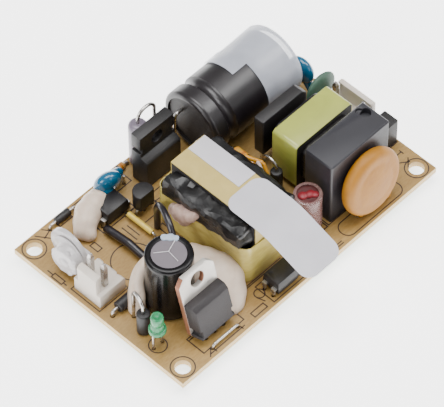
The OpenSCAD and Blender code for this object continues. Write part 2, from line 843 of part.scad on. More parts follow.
// Coated disc that stands on its edge, facing Y
module coated_disc(d, t) {
    edge = t * 0.3;
    bulge = (t - 2 * edge) / 2;
    big_r = (d * d / 4 + bulge * bulge) / (2 * bulge);
    rotate([90, 0, 0]) rotate_extrude() intersection() {
        translate([0, -t / 2]) square([d / 2, t]);
        translate([0, t / 2 - big_r]) circle(r = big_r, $fn = 96);
        translate([0, big_r - t / 2]) circle(r = big_r, $fn = 96);
    }
}

// Coating that runs down over two leads, with a crossbar between them
module coated_necks(legs, low, h) {
    for (p = legs) over_board(low) translate(p) cylinder(d = neck_d, h = h, $fn = 24);
    lying(legs, low + h - neck_d / 2, neck_d - play, norm(legs[1] - legs[0]), $fn = 24);
}

module front_disc_capacitor() {
    color("#1d7fb8") difference() {
        union() {
            over_board(disc_h) translate([front_disc[0], front_disc[1], 0])
                rotate([0, 0, front_disc_turn]) rotate([front_disc_lean, 0, 0]) coated_disc(disc_d, disc_t);
            coated_necks(front_disc_legs, front_neck_low, front_neck_h);
        }
        for (p = front_disc_legs) lead(p, thin_lead_d, front_disc_reach);
    }
}

module rear_disc_capacitor() {
    color("#1d7fb8") difference() {
        union() {
            over_board(rear_disc_h) translate([rear_disc[0], rear_disc[1], 0]) rotate([0, 0, 90])
                coated_disc(disc_d, disc_t);
            coated_necks(rear_disc_legs, rear_neck_low, rear_neck_h);
        }
        for (p = rear_disc_legs) lead(p, thin_lead_d, rear_disc_reach);
    }
}

module varistor() {
    color("#e79a2e") difference() {
        over_board(varistor_h) translate([varistor_pos[0], varistor_pos[1], 0])
            rotate([-varistor_lean, 0, 0]) coated_disc(varistor_d, varistor_t);
        for (p = varistor_legs) lead(p, thick_lead_d, varistor_reach);
    }
}

module thermistor() {
    color("#6f9079") difference() {
        over_board(thermistor_h) translate([thermistor_pos[0], thermistor_pos[1], 0])
            coated_disc(thermistor_d, thermistor_t);
        for (p = thermistor_legs) lead(p, thick_lead_d, thermistor_reach);
    }
}

module radial_leads() {
    color("silver") {
        for (p = front_disc_legs) lead(p, thin_lead_d, front_disc_reach);
        for (p = rear_disc_legs) lead(p, thin_lead_d, rear_disc_reach);
        for (p = varistor_legs) lead(p, thick_lead_d, varistor_reach);
        for (p = thermistor_legs) lead(p, thick_lead_d, thermistor_reach);
        for (p = box_cap_legs) lead(p, thick_lead_d, 0);
        for (p = fuse_legs) lead(p, thin_lead_d, 0);
        for (p = drum_legs) lead(p, thin_lead_d, drum_lift);
        for (p = lamp_legs) lead(p, thin_lead_d, lamp_lift);
        for (p = bridge_legs) lead(p, thick_lead_d, bridge_lift);
        for (p = trimmer_legs) lead(p, thin_lead_d, trimmer_foot_h);
    }
}

// Optocouplers -------------------------------------------------------------

// Side view of a moulding that tapers up and down from a band at the height of its leads
function drafted(w, t, band) = [
    [-w / 2 + draft, 0], [w / 2 - draft, 0], [w / 2, t / 2 - band], [w / 2, t / 2],
    [w / 2 - draft, t], [-w / 2 + draft, t], [-w / 2, t / 2], [-w / 2, t / 2 - band]
];

module opto_body(c) {
    over_board(opto_lift) translate([c[0], c[1], 0]) difference() {
        intersection() {
            xz_bar(0, opto_w) polygon(drafted(opto_l, opto_t, opto_lead_t));
            yz_bar(0, opto_l) polygon(drafted(opto_w, opto_t, opto_lead_t));
        }
        translate([opto_dot_in - opto_l / 2, opto_w / 2 - opto_dot_in, opto_t - opto_dot_depth])
            cylinder(d = opto_dot_d, h = over, $fn = 24);
    }
}

module feedback_optocoupler() {
    color("#262628") opto_body(feedback_pos);
}

module protection_optocoupler() {
    color("#262628") opto_body(protection_pos);
}

module optocoupler_leads() {
    t = opto_lead_t / 2;
    knee = board_t + opto_lift + opto_t / 2;
    foot = board_t + opto_foot_h;
    color("silver") for (legs = [feedback_legs, protection_legs], i = [0:3]) {
        p = legs[i];
        s = (i < 2) ? -1 : 1;
        xz_bar(p[1], opto_shoulder_w) polygon([
            [p[0] - s * (opto_row - opto_l) / 2, knee], [p[0] + s * t, knee], [p[0] + s * t, foot],
            [p[0] - s * t, foot], [p[0] - s * t, knee - opto_lead_t],
            [p[0] - s * (opto_row - opto_l) / 2, knee - opto_lead_t]
        ]);
        translate([p[0] - t, p[1] - opto_lead_w / 2, -lead_tail])
            cube([opto_lead_t, opto_lead_w, lead_tail + foot]);
    }
}

// Trimmer ------------------------------------------------------------------

module trimmer_place(x) {
    over_board(trimmer_h) translate([trimmer_pos[0] + x, trimmer_pos[1], 0]) rotate([0, 90, 0]) children();
}

module trimmer_body() {
    color("#dcdce0") difference() {
        union() {
            trimmer_place(-trimmer_plate_t / 2) cylinder(r = trimmer_r, h = trimmer_plate_t);
            over_board(play)
                translate([trimmer_pos[0] - trimmer_plate_t / 2, trimmer_pos[1] - trimmer_foot_w / 2, 0])
                    cube([trimmer_foot_l, trimmer_foot_w, trimmer_foot_t]);
        }
        for (p = trimmer_legs) lead(p, thin_lead_d, trimmer_foot_h);
    }
}

module trimmer_rotor() {
    sag = trimmer_rotor_t - trimmer_rotor_edge;
    big_r = (trimmer_rotor_r * trimmer_rotor_r + sag * sag) / (2 * sag);
    color("#e6e6ea") trimmer_place(-trimmer_plate_t / 2) mirror([0, 0, 1]) rotate_extrude() intersection() {
        square([trimmer_rotor_r, trimmer_rotor_t]);
        translate([0, trimmer_rotor_t - big_r]) circle(r = big_r, $fn = 96);
    }
}

// Connectors ---------------------------------------------------------------

// Square post with a four sided tip
module contact(p) {
    w = post_w / 2;
    high = board_t + post_top;
    profile = [
        [-w, -lead_tail], [w, -lead_tail], [w, high - post_tip],
        [w / 2, high], [-w / 2, high], [-w, high - post_tip]
    ];
    translate([p[0], p[1], 0]) intersection() {
        xz_bar(0, post_w) polygon(profile);
        yz_bar(0, post_w) polygon(profile);
    }
}

// Housing with a hooked latch wall on the outer side and a shallow key groove at each way
module housing(c, posts, ways, outer) {
    l = ways * post_pitch - play;
    wall_l = l - 2 * latch_cut;
    inner = latch_back - housing_d;
    color("#e9e6dc") difference() {
        over_board() translate([c[0], c[1], 0]) mirror([outer < 0 ? 1 : 0, 0, 0]) difference() {
            union() {
                xz_bar(0, l) polygon([
                    [inner, 0], [latch_back, 0], [latch_back, housing_h],
                    [inner + housing_chamfer, housing_h], [inner, housing_h - housing_chamfer]
                ]);
                xz_bar(0, wall_l) translate([latch_back, 0]) polygon([
                    [-latch_t, 0], [0, 0], [0, latch_h - latch_lip], [-latch_lip, latch_h],
                    [-latch_t - latch_hook, latch_h], [-latch_t - latch_hook, latch_h - latch_lip],
                    [-latch_t, latch_h - latch_lip - 2 * latch_hook]
                ]);
            }
            for (i = [0:ways - 1])
                translate([inner, (i - (ways - 1) / 2) * post_pitch, 0]) rotate([0, 0, 45])
                    cube([key_w, key_w, 2 * housing_h + over], center = true);
        }
        for (p = posts) translate([p[0] - post_w / 2, p[1] - post_w / 2, 0])
            cube([post_w, post_w, board_t + housing_h + over]);
    }
}

module output_connector() {
    housing(output_conn, output_post_legs, output_ways, -1);
}

module input_connector() {
    housing(input_conn, input_post_legs, input_ways, 1);
}

module connector_posts() {
    color("silver") for (p = concat(output_post_legs, input_post_legs)) contact(p);
}

// Indicator lamp -----------------------------------------------------------

module indicator_lamp() {
    color("#55c98a") over_board(lamp_lift) translate(lamp_pos) rotate_extrude() {
        square([lamp_flange_r, lamp_flange_h]);
        square([lamp_r, lamp_h - lamp_r]);
        translate([0, lamp_h - lamp_r]) intersection() {
            circle(r = lamp_r);
            square(lamp_r);
        }
    }
}

// Jumpers and the secondary lead -------------------------------------------

module bare_jumpers() {
    color("silver") {
        staple(jumper_legs, jumper_lift + thin_lead_d / 2, thin_lead_d);
        staple(yellow_legs, sleeved_h, thin_lead_d);
        staple(black_legs, sleeved_h, thin_lead_d);
        for (p = secondary_legs) lead(p, thin_lead_d, secondary_lift);
    }
}

// Insulation on the level run of a jumper
module insulation(legs, d) {
    l = norm(legs[1] - legs[0]) - 2 * thick_lead_d;
    difference() {
        lying(legs, sleeved_h, d, l);
        lying(legs, sleeved_h, thin_lead_d, l + over, $fn = 24);
    }
}

module yellow_jumper() {
    color("#e3cf6a") insulation(yellow_legs, yellow_sleeve_d);
}

module black_jumper() {
    color("#241f2e") insulation(black_legs, black_sleeve_d);
}

module secondary_lead() {
    color("#1d1d1f")
        hairpin(secondary_pos, secondary_foot, secondary_lift, secondary_rise, secondary_d, secondary_lift);
}

// Transformer --------------------------------------------------------------

module transformer_core() {
    color("#3b3b3e") over_board(core_lift) translate([core_x - core_t / 2, core_y - core_l / 2, 0])
        difference() {
            cube([core_t, core_l, core_h]);
            for (y = [core_outer_leg, core_outer_leg + core_window_l + core_mid_leg])
                translate([-over, y, core_back_t]) cube([core_t + 2 * over, core_window_l, core_window_h]);
        }
}

module transformer_bobbin() {
    inner = [core_t + 2 * play, core_mid_leg + 2 * play];
    outer = inner + [2 * bobbin_wall, 2 * bobbin_wall];
    low = core_lift + core_back_t;
    rail_h = low - bobbin_rail_lift + bobbin_flange_h;
    corner_cut = 1.7 * skirt_corner;
    color("#26262a") difference() {
        union() {
            over_board(low) translate([core_x, core_y, 0]) {
                linear_extrude(core_window_h) square(outer, center = true);
                linear_extrude(bobbin_flange_h) square(bobbin_flange, center = true);
                translate([0, 0, core_window_h - bobbin_flange_h]) linear_extrude(bobbin_flange_h)
                    square(bobbin_flange, center = true);
            }
            for (s = [-1, 1]) over_board(bobbin_rail_lift)
                translate([core_x + s * rail_x, core_y + bobbin_rail_shift, rail_h / 2])
                    cube([bobbin_rail, bobbin_rail_l, rail_h], center = true);
        }
        over_board(low - over) translate([core_x, core_y, 0]) linear_extrude(core_window_h + 2 * over)
            square(inner, center = true);
        for (sx = [-1, 1], sy = [-1, 1]) translate([
            core_x + sx * bobbin_flange[0] / 2, core_y + bobbin_rail_shift + sy * bobbin_rail_l / 2, 0
        ]) rotate([0, 0, 45]) cube([corner_cut, corner_cut, 4 * core_h], center = true);
        for (p = transformer_pin_legs) lead(p, pin_d, low);
    }
}

module winding_ring(inner, outer, low, high, corner) {
    over_board(low) translate([core_x, core_y, 0]) linear_extrude(high - low) difference() {
        rounded(outer[0], outer[1], corner);
        children();
    }
}

bobbin_flange = [core_t + 2 * play + 2 * bobbin_rail, core_l - 2 * core_outer_leg - 2 * play];
wind_low = core_lift + core_back_t + bobbin_flange_h;
wind_high = core_lift + core_back_t + core_window_h - bobbin_flange_h;
wrap_outer = [core_t + 2 * winding_bulge, core_l - 2 * core_outer_leg - 2 * play];
wind_outer = wrap_outer - [2 * wrap_t, 2 * wrap_t];
bobbin_outer = [core_t + 2 * play + 2 * bobbin_wall, core_mid_leg + 2 * play + 2 * bobbin_wall];
skirt_outer = [core_t + 2 * bobbin_rail + 2 * skirt_gap + 2 * skirt_t, bobbin_rail_l + 2 * skirt_t];

module transformer_winding() {
    color("#a8632c") winding_ring(bobbin_outer, wind_outer, wind_low, wind_high, wrap_corner - wrap_t)
        square(bobbin_outer, center = true);
}

module winding_wrap() {
    low = bobbin_rail_lift + skirt_h;
    color("#19191b") over_board() translate([core_x, core_y, 0]) difference() {
        translate([0, 0, low]) linear_extrude(wrap_h) rounded(wrap_outer[0], wrap_outer[1], wrap_corner);
        translate([0, 0, low - over]) linear_extrude(wind_high - low + over)
            rounded(wind_outer[0], wind_outer[1], wrap_corner - wrap_t);
        translate([0, 0, wind_high - over]) linear_extrude(bobbin_flange_h + over)
            square(bobbin_flange, center = true);
        translate([0, 0, wind_high]) linear_extrude(core_h) square([core_t, core_l], center = true);
    }
}

module core_tape() {
    color("#d9c98a") over_board(core_lift) translate([core_x, core_y, core_h / 2]) difference() {
        cube([core_t, core_l + 2 * tape_t, core_h + 2 * tape_t], center = true);
        cube([core_t + over, core_l, core_h], center = true);
    }
}

module skirt_tape() {
    color("#dccb55") over_board(bobbin_rail_lift) translate([core_x, core_y + bobbin_rail_shift, 0])
        linear_extrude(skirt_h) difference() {
            rounded(skirt_outer[0], skirt_outer[1], skirt_corner + skirt_t);
            rounded(skirt_outer[0] - 2 * skirt_t, skirt_outer[1] - 2 * skirt_t, skirt_corner);
        }
}

module bobbin_pins() {
    color("silver") {
        for (p = transformer_pin_legs) lead(p, pin_d, core_lift + core_back_t);
        for (p = choke_pin_legs) lead(p, pin_d, choke_base_lift);
    }
}

// Labels -------------------------------------------------------------------

module part_label() {
    color("#f2f2f0") over_board(label_seat) translate([core_x, core_y + core_l / 2 - part_label_l, 0])
        cube([part_label_w, part_label_l, label_t]);
}

// Cuts the two corners of a strip that starts at y = 0 and runs to +Y
module round_corners(w) {
    far = flag_corner + over;
    for (s = [-1, 1]) translate([s * (w / 2 - flag_corner), flag_corner, -over]) difference() {
        translate([min(0, s * far), -far, 0]) cube([far, far, label_t + 2 * over]);
        translate([0, 0, -over]) cylinder(r = flag_corner, h = label_t + 4 * over);
    }
}

module flag_label() {
    hang = flag_hang - flag_bend_r * flag_slope * PI / 180;
    reach = 2 * flag_bend_r;
    color("#e9e9ec") over_board(label_seat) translate([core_x, core_y - core_l / 2 - tape_t, 0])
    difference() {
        yz_bar(0, flag_w) {
            square([flag_on_top, label_t]);
            translate([0, -flag_bend_r]) {
                intersection() {
                    difference() {
                        circle(r = flag_bend_r + label_t);
                        circle(r = flag_bend_r);
                    }
                    polygon([[0, 0], [0, reach], [-reach * tan(flag_slope), reach]]);
                }
                rotate(flag_slope) translate([-hang, flag_bend_r]) square([hang, label_t]);
            }
        }
        translate([0, flag_on_top, 0]) mirror([0, 1, 0]) round_corners(flag_w);
        translate([0, 0, -flag_bend_r]) rotate([flag_slope, 0, 0]) translate([0, -hang, flag_bend_r])
            round_corners(flag_w);
    }
}

// Drum inductor ------------------------------------------------------------

module drum_inductor() {
    r = drum_d / 2 - drum_sleeve_t;
    color("#a3352c") over_board(drum_lift) translate(drum_pos) rotate_extrude() {
        square([r, drum_flange_t]);
        square([r - drum_waist, drum_h - drum_sink]);
        translate([0, drum_h - drum_sink - drum_flange_t]) square([r, drum_flange_t]);
    }
}

module drum_inductor_sleeve() {
    color("#b98f86") over_board(drum_lift) translate(drum_pos) difference() {
        cylinder(d = drum_d, h = drum_h);
        translate([0, 0, -over]) cylinder(r = drum_d / 2 - drum_sleeve_t, h = drum_h + 2 * over);
    }
}

// Common mode choke --------------------------------------------------------

choke_inner = [choke_l - 2 * choke_tape_t, choke_h - 2 * choke_tape_t];
choke_window = [choke_inner[0] - 2 * choke_leg_w, choke_inner[1] - 2 * choke_leg_w];

module choke_bar(w) {
    over_board(choke_lift + choke_h / 2) translate([choke_pos[0], 0, 0]) xz_bar(choke_pos[1], w) children();
}

module choke_core() {
    color("#3a3a3c") choke_bar(choke_band) difference() {
        rounded(choke_inner[0], choke_inner[1], choke_corner - choke_tape_t);
        square(choke_window, center = true);
    }
}

module choke_tape() {
    color("#b9cf4a") choke_bar(choke_band) difference() {
        rounded(choke_l, choke_h, choke_corner);
        rounded(choke_inner[0], choke_inner[1], choke_corner - choke_tape_t);
    }
}

module choke_winding() {
    pad = choke_inner - [2 * choke_pad_in, 2 * choke_pad_in];
    color("#33251d") {
        choke_bar(choke_band) square(choke_window, center = true);
        for (s = [-1, 1]) translate([0, s * (choke_band + choke_pad_t) / 2, 0]) choke_bar(choke_pad_t)
            rounded(pad[0], pad[1], choke_pad_corner);
    }
}

module choke_bobbin() {
    color("#222224") over_board(choke_base_lift) translate([choke_pos[0], choke_pos[1], 0])
        linear_extrude(choke_lift - choke_base_lift)
            square(choke_pin_pitch + choke_base_margin, center = true);
}

// Box capacitor and fuse ---------------------------------------------------

// Moulded case with round corners and a bevelled top
module case_body(l, w, h, corner) {
    intersection() {
        linear_extrude(h) rounded(l, w, corner);
        xz_bar(0, w) bevelled(l, h);
        yz_bar(0, l) bevelled(w, h);
    }
}

// Side view of a case, bevelled along its top
module bevelled(w, h) {
    polygon([
        [-w / 2, 0], [w / 2, 0], [w / 2, h - case_bevel],
        [w / 2 - case_bevel, h], [-w / 2 + case_bevel, h], [-w / 2, h - case_bevel]
    ]);
}

module box_capacitor() {
    color("#6d6f78") over_board() translate([box_cap[0], box_cap[1], 0]) difference() {
        case_body(box_cap_l, box_cap_w, box_cap_h, box_corner);
        translate([box_cap_l / 2 - gate_in[0], box_cap_w / 2 - gate_in[1], box_cap_h - gate_depth])
            cylinder(d = gate_d, h = over, $fn = 32);
    }
}

module fuse_block() {
    color("#1d1d1f") over_board() translate([fuse_pos[0], fuse_pos[1], 0])
        case_body(fuse_l, fuse_w, fuse_h, fuse_corner);
}

// Silicone -----------------------------------------------------------------

// Rounded heap over a list of balls: [x, y, height of the middle, radius]
module heap(balls) {
    hull() for (b = balls) over_board(b[2]) translate([b[0], b[1], 0]) sphere(r = b[3], $fn = 20);
}

module silicone_beads() {
    color("#ece6dc") difference() {
        for (balls = [disc_heap, dome_heap, back_heap, wall_heap, foot_heap]) heap(balls);
        translate([out_edge, front_edge, board_t - 2 * heap_max]) cube([board_l, board_w, 2 * heap_max]);
        clear_of_beads();
    }
}

// What the silicone is poured round, each a little larger than the piece itself
module clear_of_beads() {
    grow = 2 * play;
    translate(out_cap) cylinder(d = 2 * out_sleeve_r + grow, h = board_t + out_can_h);
    rect_place() translate([-package_w / 2 - play, -rect_front - play, -play])
        cube([package_w + grow, rect_front + rect_back + tab_t + grow, tab_h + grow]);
    lying(output_diode_legs, axial_lift + output_diode_d / 2, output_diode_d + grow, output_diode_span);
    hairpin(secondary_pos, secondary_foot, secondary_lift, secondary_rise, secondary_d + grow, 0);
    over_board() translate([feedback_pos[0], feedback_pos[1], 0])
        cube([opto_row + thick_lead_d, opto_w + grow, 2 * (opto_lift + opto_t + play)], center = true);
    for (legs = [front_disc_legs, secondary_legs, output_diode_legs], p = legs)
        translate([p[0], p[1], 0]) cylinder(d = neck_d + grow, h = board_t + heap_max, $fn = 24);
    over_board(skirt_h) translate([core_x, core_y, 0]) linear_extrude(core_h)
        rounded(wrap_outer[0] + grow, wrap_outer[1] + grow, wrap_corner);
    translate([core_x, core_y + bobbin_rail_shift, 0])
        linear_extrude(board_t + bobbin_rail_lift + skirt_h + play)
            rounded(skirt_outer[0] + grow, skirt_outer[1] + grow, skirt_corner);
    over_board(disc_h) translate([front_disc[0], front_disc[1], 0])
        rotate([0, 0, front_disc_turn]) rotate([90 + front_disc_lean, 0, 0])
            cylinder(d = disc_d + grow, h = disc_t + grow, center = true);
}

// Underside ----------------------------------------------------------------

module controller_chip() {
    color("#232325") translate([controller_pos[0], controller_pos[1], 0]) {
        translate([0, 0, -controller_t / 2 - play])
            cube([controller_l, controller_w, controller_t], center = true);
        for (i = [-1.5:1.5], s = [-1, 1]) translate([
            i * controller_pitch, s * (controller_span + controller_w) / 4, -controller_foot[2] / 2
        ]) cube(controller_foot, center = true);
    }
}

module chip_resistors() {
    color("#303034") for (p = chip_spots) translate([p[0] - chip_l / 2, p[1] - chip_w / 2, -chip_t])
        cube([chip_l, chip_w, chip_t]);
}

// The whole object, or one of its pieces ------------------------------------

circuit_board();
solder_joints();
bulk_capacitor();
bulk_capacitor_bung();
bulk_capacitor_film();
output_capacitor_can();
output_capacitor_sleeve();
capacitor_leads();
switch_transistor();
rectifier_body();
rectifier_tab();
shunt_regulator();
transistor_leads();
bridge_rectifier();
output_diode();
damping_diode();
clamp_diode();
signal_diode();
startup_resistor();
snubber_resistor();
sense_resistor();
axial_leads();
front_disc_capacitor();
rear_disc_capacitor();
feedback_optocoupler();
protection_optocoupler();
optocoupler_leads();
trimmer_body();
trimmer_rotor();
output_connector();
input_connector();
connector_posts();
indicator_lamp();
silicone_beads();
bare_jumpers();
yellow_jumper();
black_jumper();
secondary_lead();
transformer_core();
transformer_bobbin();
transformer_winding();
winding_wrap();
core_tape();
skirt_tape();
bobbin_pins();
part_label();
flag_label();
drum_inductor();
drum_inductor_sleeve();
choke_core();
choke_bobbin();
choke_winding();
choke_tape();
box_capacitor();
varistor();
fuse_block();
thermistor();
radial_leads();
controller_chip();
chip_resistors();
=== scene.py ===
import math

import bmesh
import bpy
from mathutils import Matrix, Vector


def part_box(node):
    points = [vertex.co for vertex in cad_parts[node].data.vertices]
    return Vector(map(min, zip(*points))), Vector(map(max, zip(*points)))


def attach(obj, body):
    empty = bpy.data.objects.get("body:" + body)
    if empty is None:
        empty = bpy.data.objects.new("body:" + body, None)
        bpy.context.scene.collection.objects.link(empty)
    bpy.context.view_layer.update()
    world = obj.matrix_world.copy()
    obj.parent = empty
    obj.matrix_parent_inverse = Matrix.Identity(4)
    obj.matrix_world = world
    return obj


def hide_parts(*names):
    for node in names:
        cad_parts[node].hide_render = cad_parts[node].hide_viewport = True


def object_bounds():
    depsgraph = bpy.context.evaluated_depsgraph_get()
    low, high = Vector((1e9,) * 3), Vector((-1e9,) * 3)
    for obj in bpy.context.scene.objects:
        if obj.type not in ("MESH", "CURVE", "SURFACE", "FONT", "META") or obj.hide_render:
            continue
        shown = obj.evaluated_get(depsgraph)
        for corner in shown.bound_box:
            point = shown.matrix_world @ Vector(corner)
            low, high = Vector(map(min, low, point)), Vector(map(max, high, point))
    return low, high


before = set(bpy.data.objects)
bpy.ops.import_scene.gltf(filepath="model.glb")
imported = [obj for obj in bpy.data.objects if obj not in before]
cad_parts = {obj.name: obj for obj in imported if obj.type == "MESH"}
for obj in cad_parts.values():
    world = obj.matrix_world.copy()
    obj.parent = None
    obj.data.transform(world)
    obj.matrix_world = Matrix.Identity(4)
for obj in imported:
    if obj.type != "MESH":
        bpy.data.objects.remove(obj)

# ---------------------------------------------------------------- Studio
# The power supply stands on its cut leads on seamless white paper, under one large soft box
# from above and three smaller ones at its left, front and right. The camera looks down over
# one corner.
MM = 0.001
cad_low, cad_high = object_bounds()


def srgb(code):
    """Turns a hex colour into the linear colour that a shader takes."""
    parts = [int(code[i:i + 2], 16) / 255 for i in (1, 3, 5)]
    linear = [c / 12.92 if c <= 0.04045 else ((c + 0.055) / 1.055) ** 2.4 for c in parts]
    return (*linear, 1.0)


def add_node(tree, kind, feeds=None, **settings):
    """Adds a node: settings are its own, feeds are its sockets' values or what drives them."""
    node = tree.nodes.new("ShaderNode" + kind)
    for name, value in settings.items():
        setattr(node, name, value)
    for socket, value in (feeds or {}).items():
        if isinstance(value, bpy.types.NodeSocket):
            tree.links.new(value, node.inputs[socket])
        else:
            node.inputs[socket].default_value = value
    return node


def new_finish(name, surface=None):
    """Starts a material: its tree, its shader set as surface says, and its coordinates."""
    material = bpy.data.materials.new(name)
    material.use_nodes = True
    tree = material.node_tree
    tree.nodes.clear()
    place = add_node(tree, "TexCoord").outputs["Object"]
    shader = add_node(tree, "BsdfPrincipled", surface)
    add_node(tree, "OutputMaterial", {"Surface": shader.outputs["BSDF"]})
    return material, tree, shader, place


def two_toned(name, dark, light, patch_mm, detail=3.0, surface=None):
    """Starts a material whose colour drifts between two tones, in patches of a real size."""
    material, tree, shader, place = new_finish(name, surface)
    mottle = add_node(
        tree, "TexNoise", {"Vector": place, "Scale": 1 / (patch_mm * MM), "Detail": detail}
    )
    tone = add_node(
        tree, "Mix", {0: mottle.outputs["Fac"], 6: srgb(dark), 7: srgb(light)}, data_type="RGBA"
    )
    tree.links.new(tone.outputs[2], shader.inputs["Base Color"])
    return material, tree, shader, place, mottle


def wear(piece, material):
    """Gives a piece its one material."""
    piece.data.materials.clear()
    piece.data.materials.append(material)


def start(primitive, scale=(1, 1, 1), **settings):
    """Adds a primitive at its size and place, and moves that place into its mesh."""
    bpy.ops.object.select_all(action="DESELECT")
    primitive(**settings)
    piece = bpy.context.object
    piece.scale = scale
    bpy.ops.object.transform_apply(location=True, rotation=True, scale=True)
    return piece


# Backdrop paper: matt white wood pulp, faintly cloudy, lit so that it stays nearly shadowless.
paper, *_ = two_toned("seamless_backdrop_paper", "#fbfbfb", "#ffffff", 25, surface={
    "Roughness": 0.95, "Emission Color": srgb("#ffffff"), "Emission Strength": 2.5,
})
floor = start(bpy.ops.mesh.primitive_plane_add, size=6, location=(0, 0, cad_low.z))
floor.name = "studio_floor"
wear(floor, paper)

LIGHTS = (
    ("overhead_softbox", (0.02, 0.12, 0.9), 0.7, 10.0),
    ("left_softbox", (-0.85, 0.1, 0.5), 0.5, 6.0),
    ("front_softbox", (0.15, -0.9, 0.55), 0.5, 2.0),
    ("right_softbox", (0.5, -0.3, 0.8), 0.45, 5.0),
)
for name, spot, size, power in LIGHTS:
    bpy.ops.object.select_all(action="DESELECT")
    bpy.ops.object.light_add(type="AREA", location=spot)
    lamp = bpy.context.object
    lamp.name = name
    lamp.data.shape = "DISK"
    lamp.data.size = size
    lamp.data.energy = power
    lamp.rotation_euler = Vector(spot).to_track_quat("Z", "Y").to_euler()

world = bpy.data.worlds.new("studio")
world.use_nodes = True
bpy.context.scene.world = world
world.node_tree.nodes["Background"].inputs["Color"].default_value = srgb("#ffffff")
world.node_tree.nodes["Background"].inputs["Strength"].default_value = 0.45

CAMERA_TURN = math.radians(-45.49)
CAMERA_RISE = math.radians(52.807)
CAMERA_ROLL = math.radians(-0.65)
CAMERA_DISTANCE = 797.6 * MM
CAMERA_LEFT = 1.057 * MM
CAMERA_UP = 1.017 * MM
SENSOR_MM = 36.0
LENS_MM = 302.716216
aim = Vector((0, 0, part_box("circuit_board")[1].z))
back = Vector((
    math.sin(CAMERA_TURN) * math.cos(CAMERA_RISE),
    -math.cos(CAMERA_TURN) * math.cos(CAMERA_RISE),
    math.sin(CAMERA_RISE),
))
level = (-back).cross(Vector((0, 0, 1))).normalized()
steep = level.cross(-back)
right = level * math.cos(CAMERA_ROLL) + steep * math.sin(CAMERA_ROLL)
upward = steep * math.cos(CAMERA_ROLL) - level * math.sin(CAMERA_ROLL)
eye = aim + back * CAMERA_DISTANCE - right * CAMERA_LEFT + upward * CAMERA_UP
bpy.ops.object.select_all(action="DESELECT")
bpy.ops.object.camera_add(location=eye)
camera = bpy.context.object
camera.name = "camera"
camera.matrix_world = Matrix((right, upward, back)).transposed().to_4x4()
camera.location = eye
camera.data.sensor_width = SENSOR_MM
camera.data.lens = LENS_MM
camera.data.clip_start = 0.01
camera.data.clip_end = 10
bpy.context.scene.camera = camera

# ---------------------------------------------------------------- Circuit board
# Phenolic paper laminate, pressed in sheets and punched from a panel: tan through its whole
# thickness, paler where it is cut. Tracks run under a green mask on the underside only.
top_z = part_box("circuit_board")[1].z


def at(x, y, h=0.0):
    """A point in millimetres, with its height above the board's top face."""
    return Vector((x * MM, y * MM, top_z + h * MM))


# Laminate: pressed and resin filled, so satin, with short paper fibres and slow blotches of
# tan. Its underside has the plain green of the mask where no copper lies under it.
laminate, tree, shader, place = new_finish("phenolic_paper_laminate")
stretched = add_node(tree, "Mapping", {"Vector": place, "Scale": (1.0, 3.0, 1.0)})
fibre = add_node(
    tree, "TexNoise", {"Vector": stretched.outputs[0], "Scale": 1 / (1.1 * MM), "Detail": 6.0}
)
blotch = add_node(tree, "TexNoise", {"Vector": place, "Scale": 1 / (9 * MM), "Detail": 3.0})
face_tone = add_node(
    tree, "Mix",
    {0: blotch.outputs["Fac"], 6: srgb("#9b7a40"), 7: srgb("#bb9c60")},
    data_type="RGBA",
)
fibre_tone = add_node(
    tree, "Mix",
    {0: fibre.outputs["Fac"], 6: srgb("#84622a"), 7: face_tone.outputs[2]},
    data_type="RGBA",
)
facing = add_node(tree, "SeparateXYZ", {0: add_node(tree, "NewGeometry").outputs["Normal"]})
is_top = add_node(tree, "Math", {0: facing.outputs["Z"], 1: 0.5}, operation="GREATER_THAN")
is_under = add_node(tree, "Math", {0: facing.outputs["Z"], 1: -0.5}, operation="LESS_THAN")
cut_tone = add_node(
    tree, "Mix",
    {0: fibre.outputs["Fac"], 6: srgb("#c9a566"), 7: srgb("#e0c690")},
    data_type="RGBA",
)
upper = add_node(
    tree, "Mix",
    {0: is_top.outputs[0], 6: cut_tone.outputs[2], 7: fibre_tone.outputs[2]},
    data_type="RGBA",
)
mask_tone = add_node(
    tree, "Mix",
    {0: blotch.outputs["Fac"], 6: srgb("#3a4d1f"), 7: srgb("#4a5f2a")},
    data_type="RGBA",
)
whole = add_node(
    tree, "Mix",
    {0: is_under.outputs[0], 6: upper.outputs[2], 7: mask_tone.outputs[2]},
    data_type="RGBA",
)
tree.links.new(whole.outputs[2], shader.inputs["Base Color"])
satin = add_node(tree, "MapRange", {"Value": fibre.outputs["Fac"], "To Min": 0.34, "To Max": 0.5})
tree.links.new(satin.outputs[0], shader.inputs["Roughness"])
tooth = add_node(
    tree, "Bump", {"Height": fibre.outputs["Fac"], "Strength": 0.2, "Distance": 0.04 * MM}
)
tree.links.new(tooth.outputs["Normal"], shader.inputs["Normal"])


def dress(material, *nodes):
    """Gives solids that stay as they are their material."""
    for node in nodes:
        wear(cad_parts[node], material)


dress(laminate, "circuit_board")


def pick(piece, *others):
    """Selects these pieces and no others, and makes the first of them active."""
    bpy.ops.object.select_all(action="DESELECT")
    for picked in (piece, *others):
        picked.select_set(True)
    bpy.context.view_layer.objects.active = piece


def edit_all():
    """Opens the active piece's mesh for editing, with all of it selected."""
    bpy.ops.object.mode_set(mode="EDIT")
    bpy.ops.mesh.select_all(action="SELECT")


def end_edit():
    """Puts the edited mesh back into its object."""
    bpy.ops.object.mode_set(mode="OBJECT")


def modify(piece, kind, **settings):
    """Adds a modifier and applies it."""
    pick(piece)
    modifier = piece.modifiers.new(kind.lower(), kind)
    for name, value in settings.items():
        setattr(modifier, name, value)
    bpy.ops.object.modifier_apply(modifier=modifier.name)


def unite(pieces):
    """Joins pieces into the first of them."""
    pick(*pieces)
    if len(pieces) > 1:
        bpy.ops.object.join()
    return pieces[0]


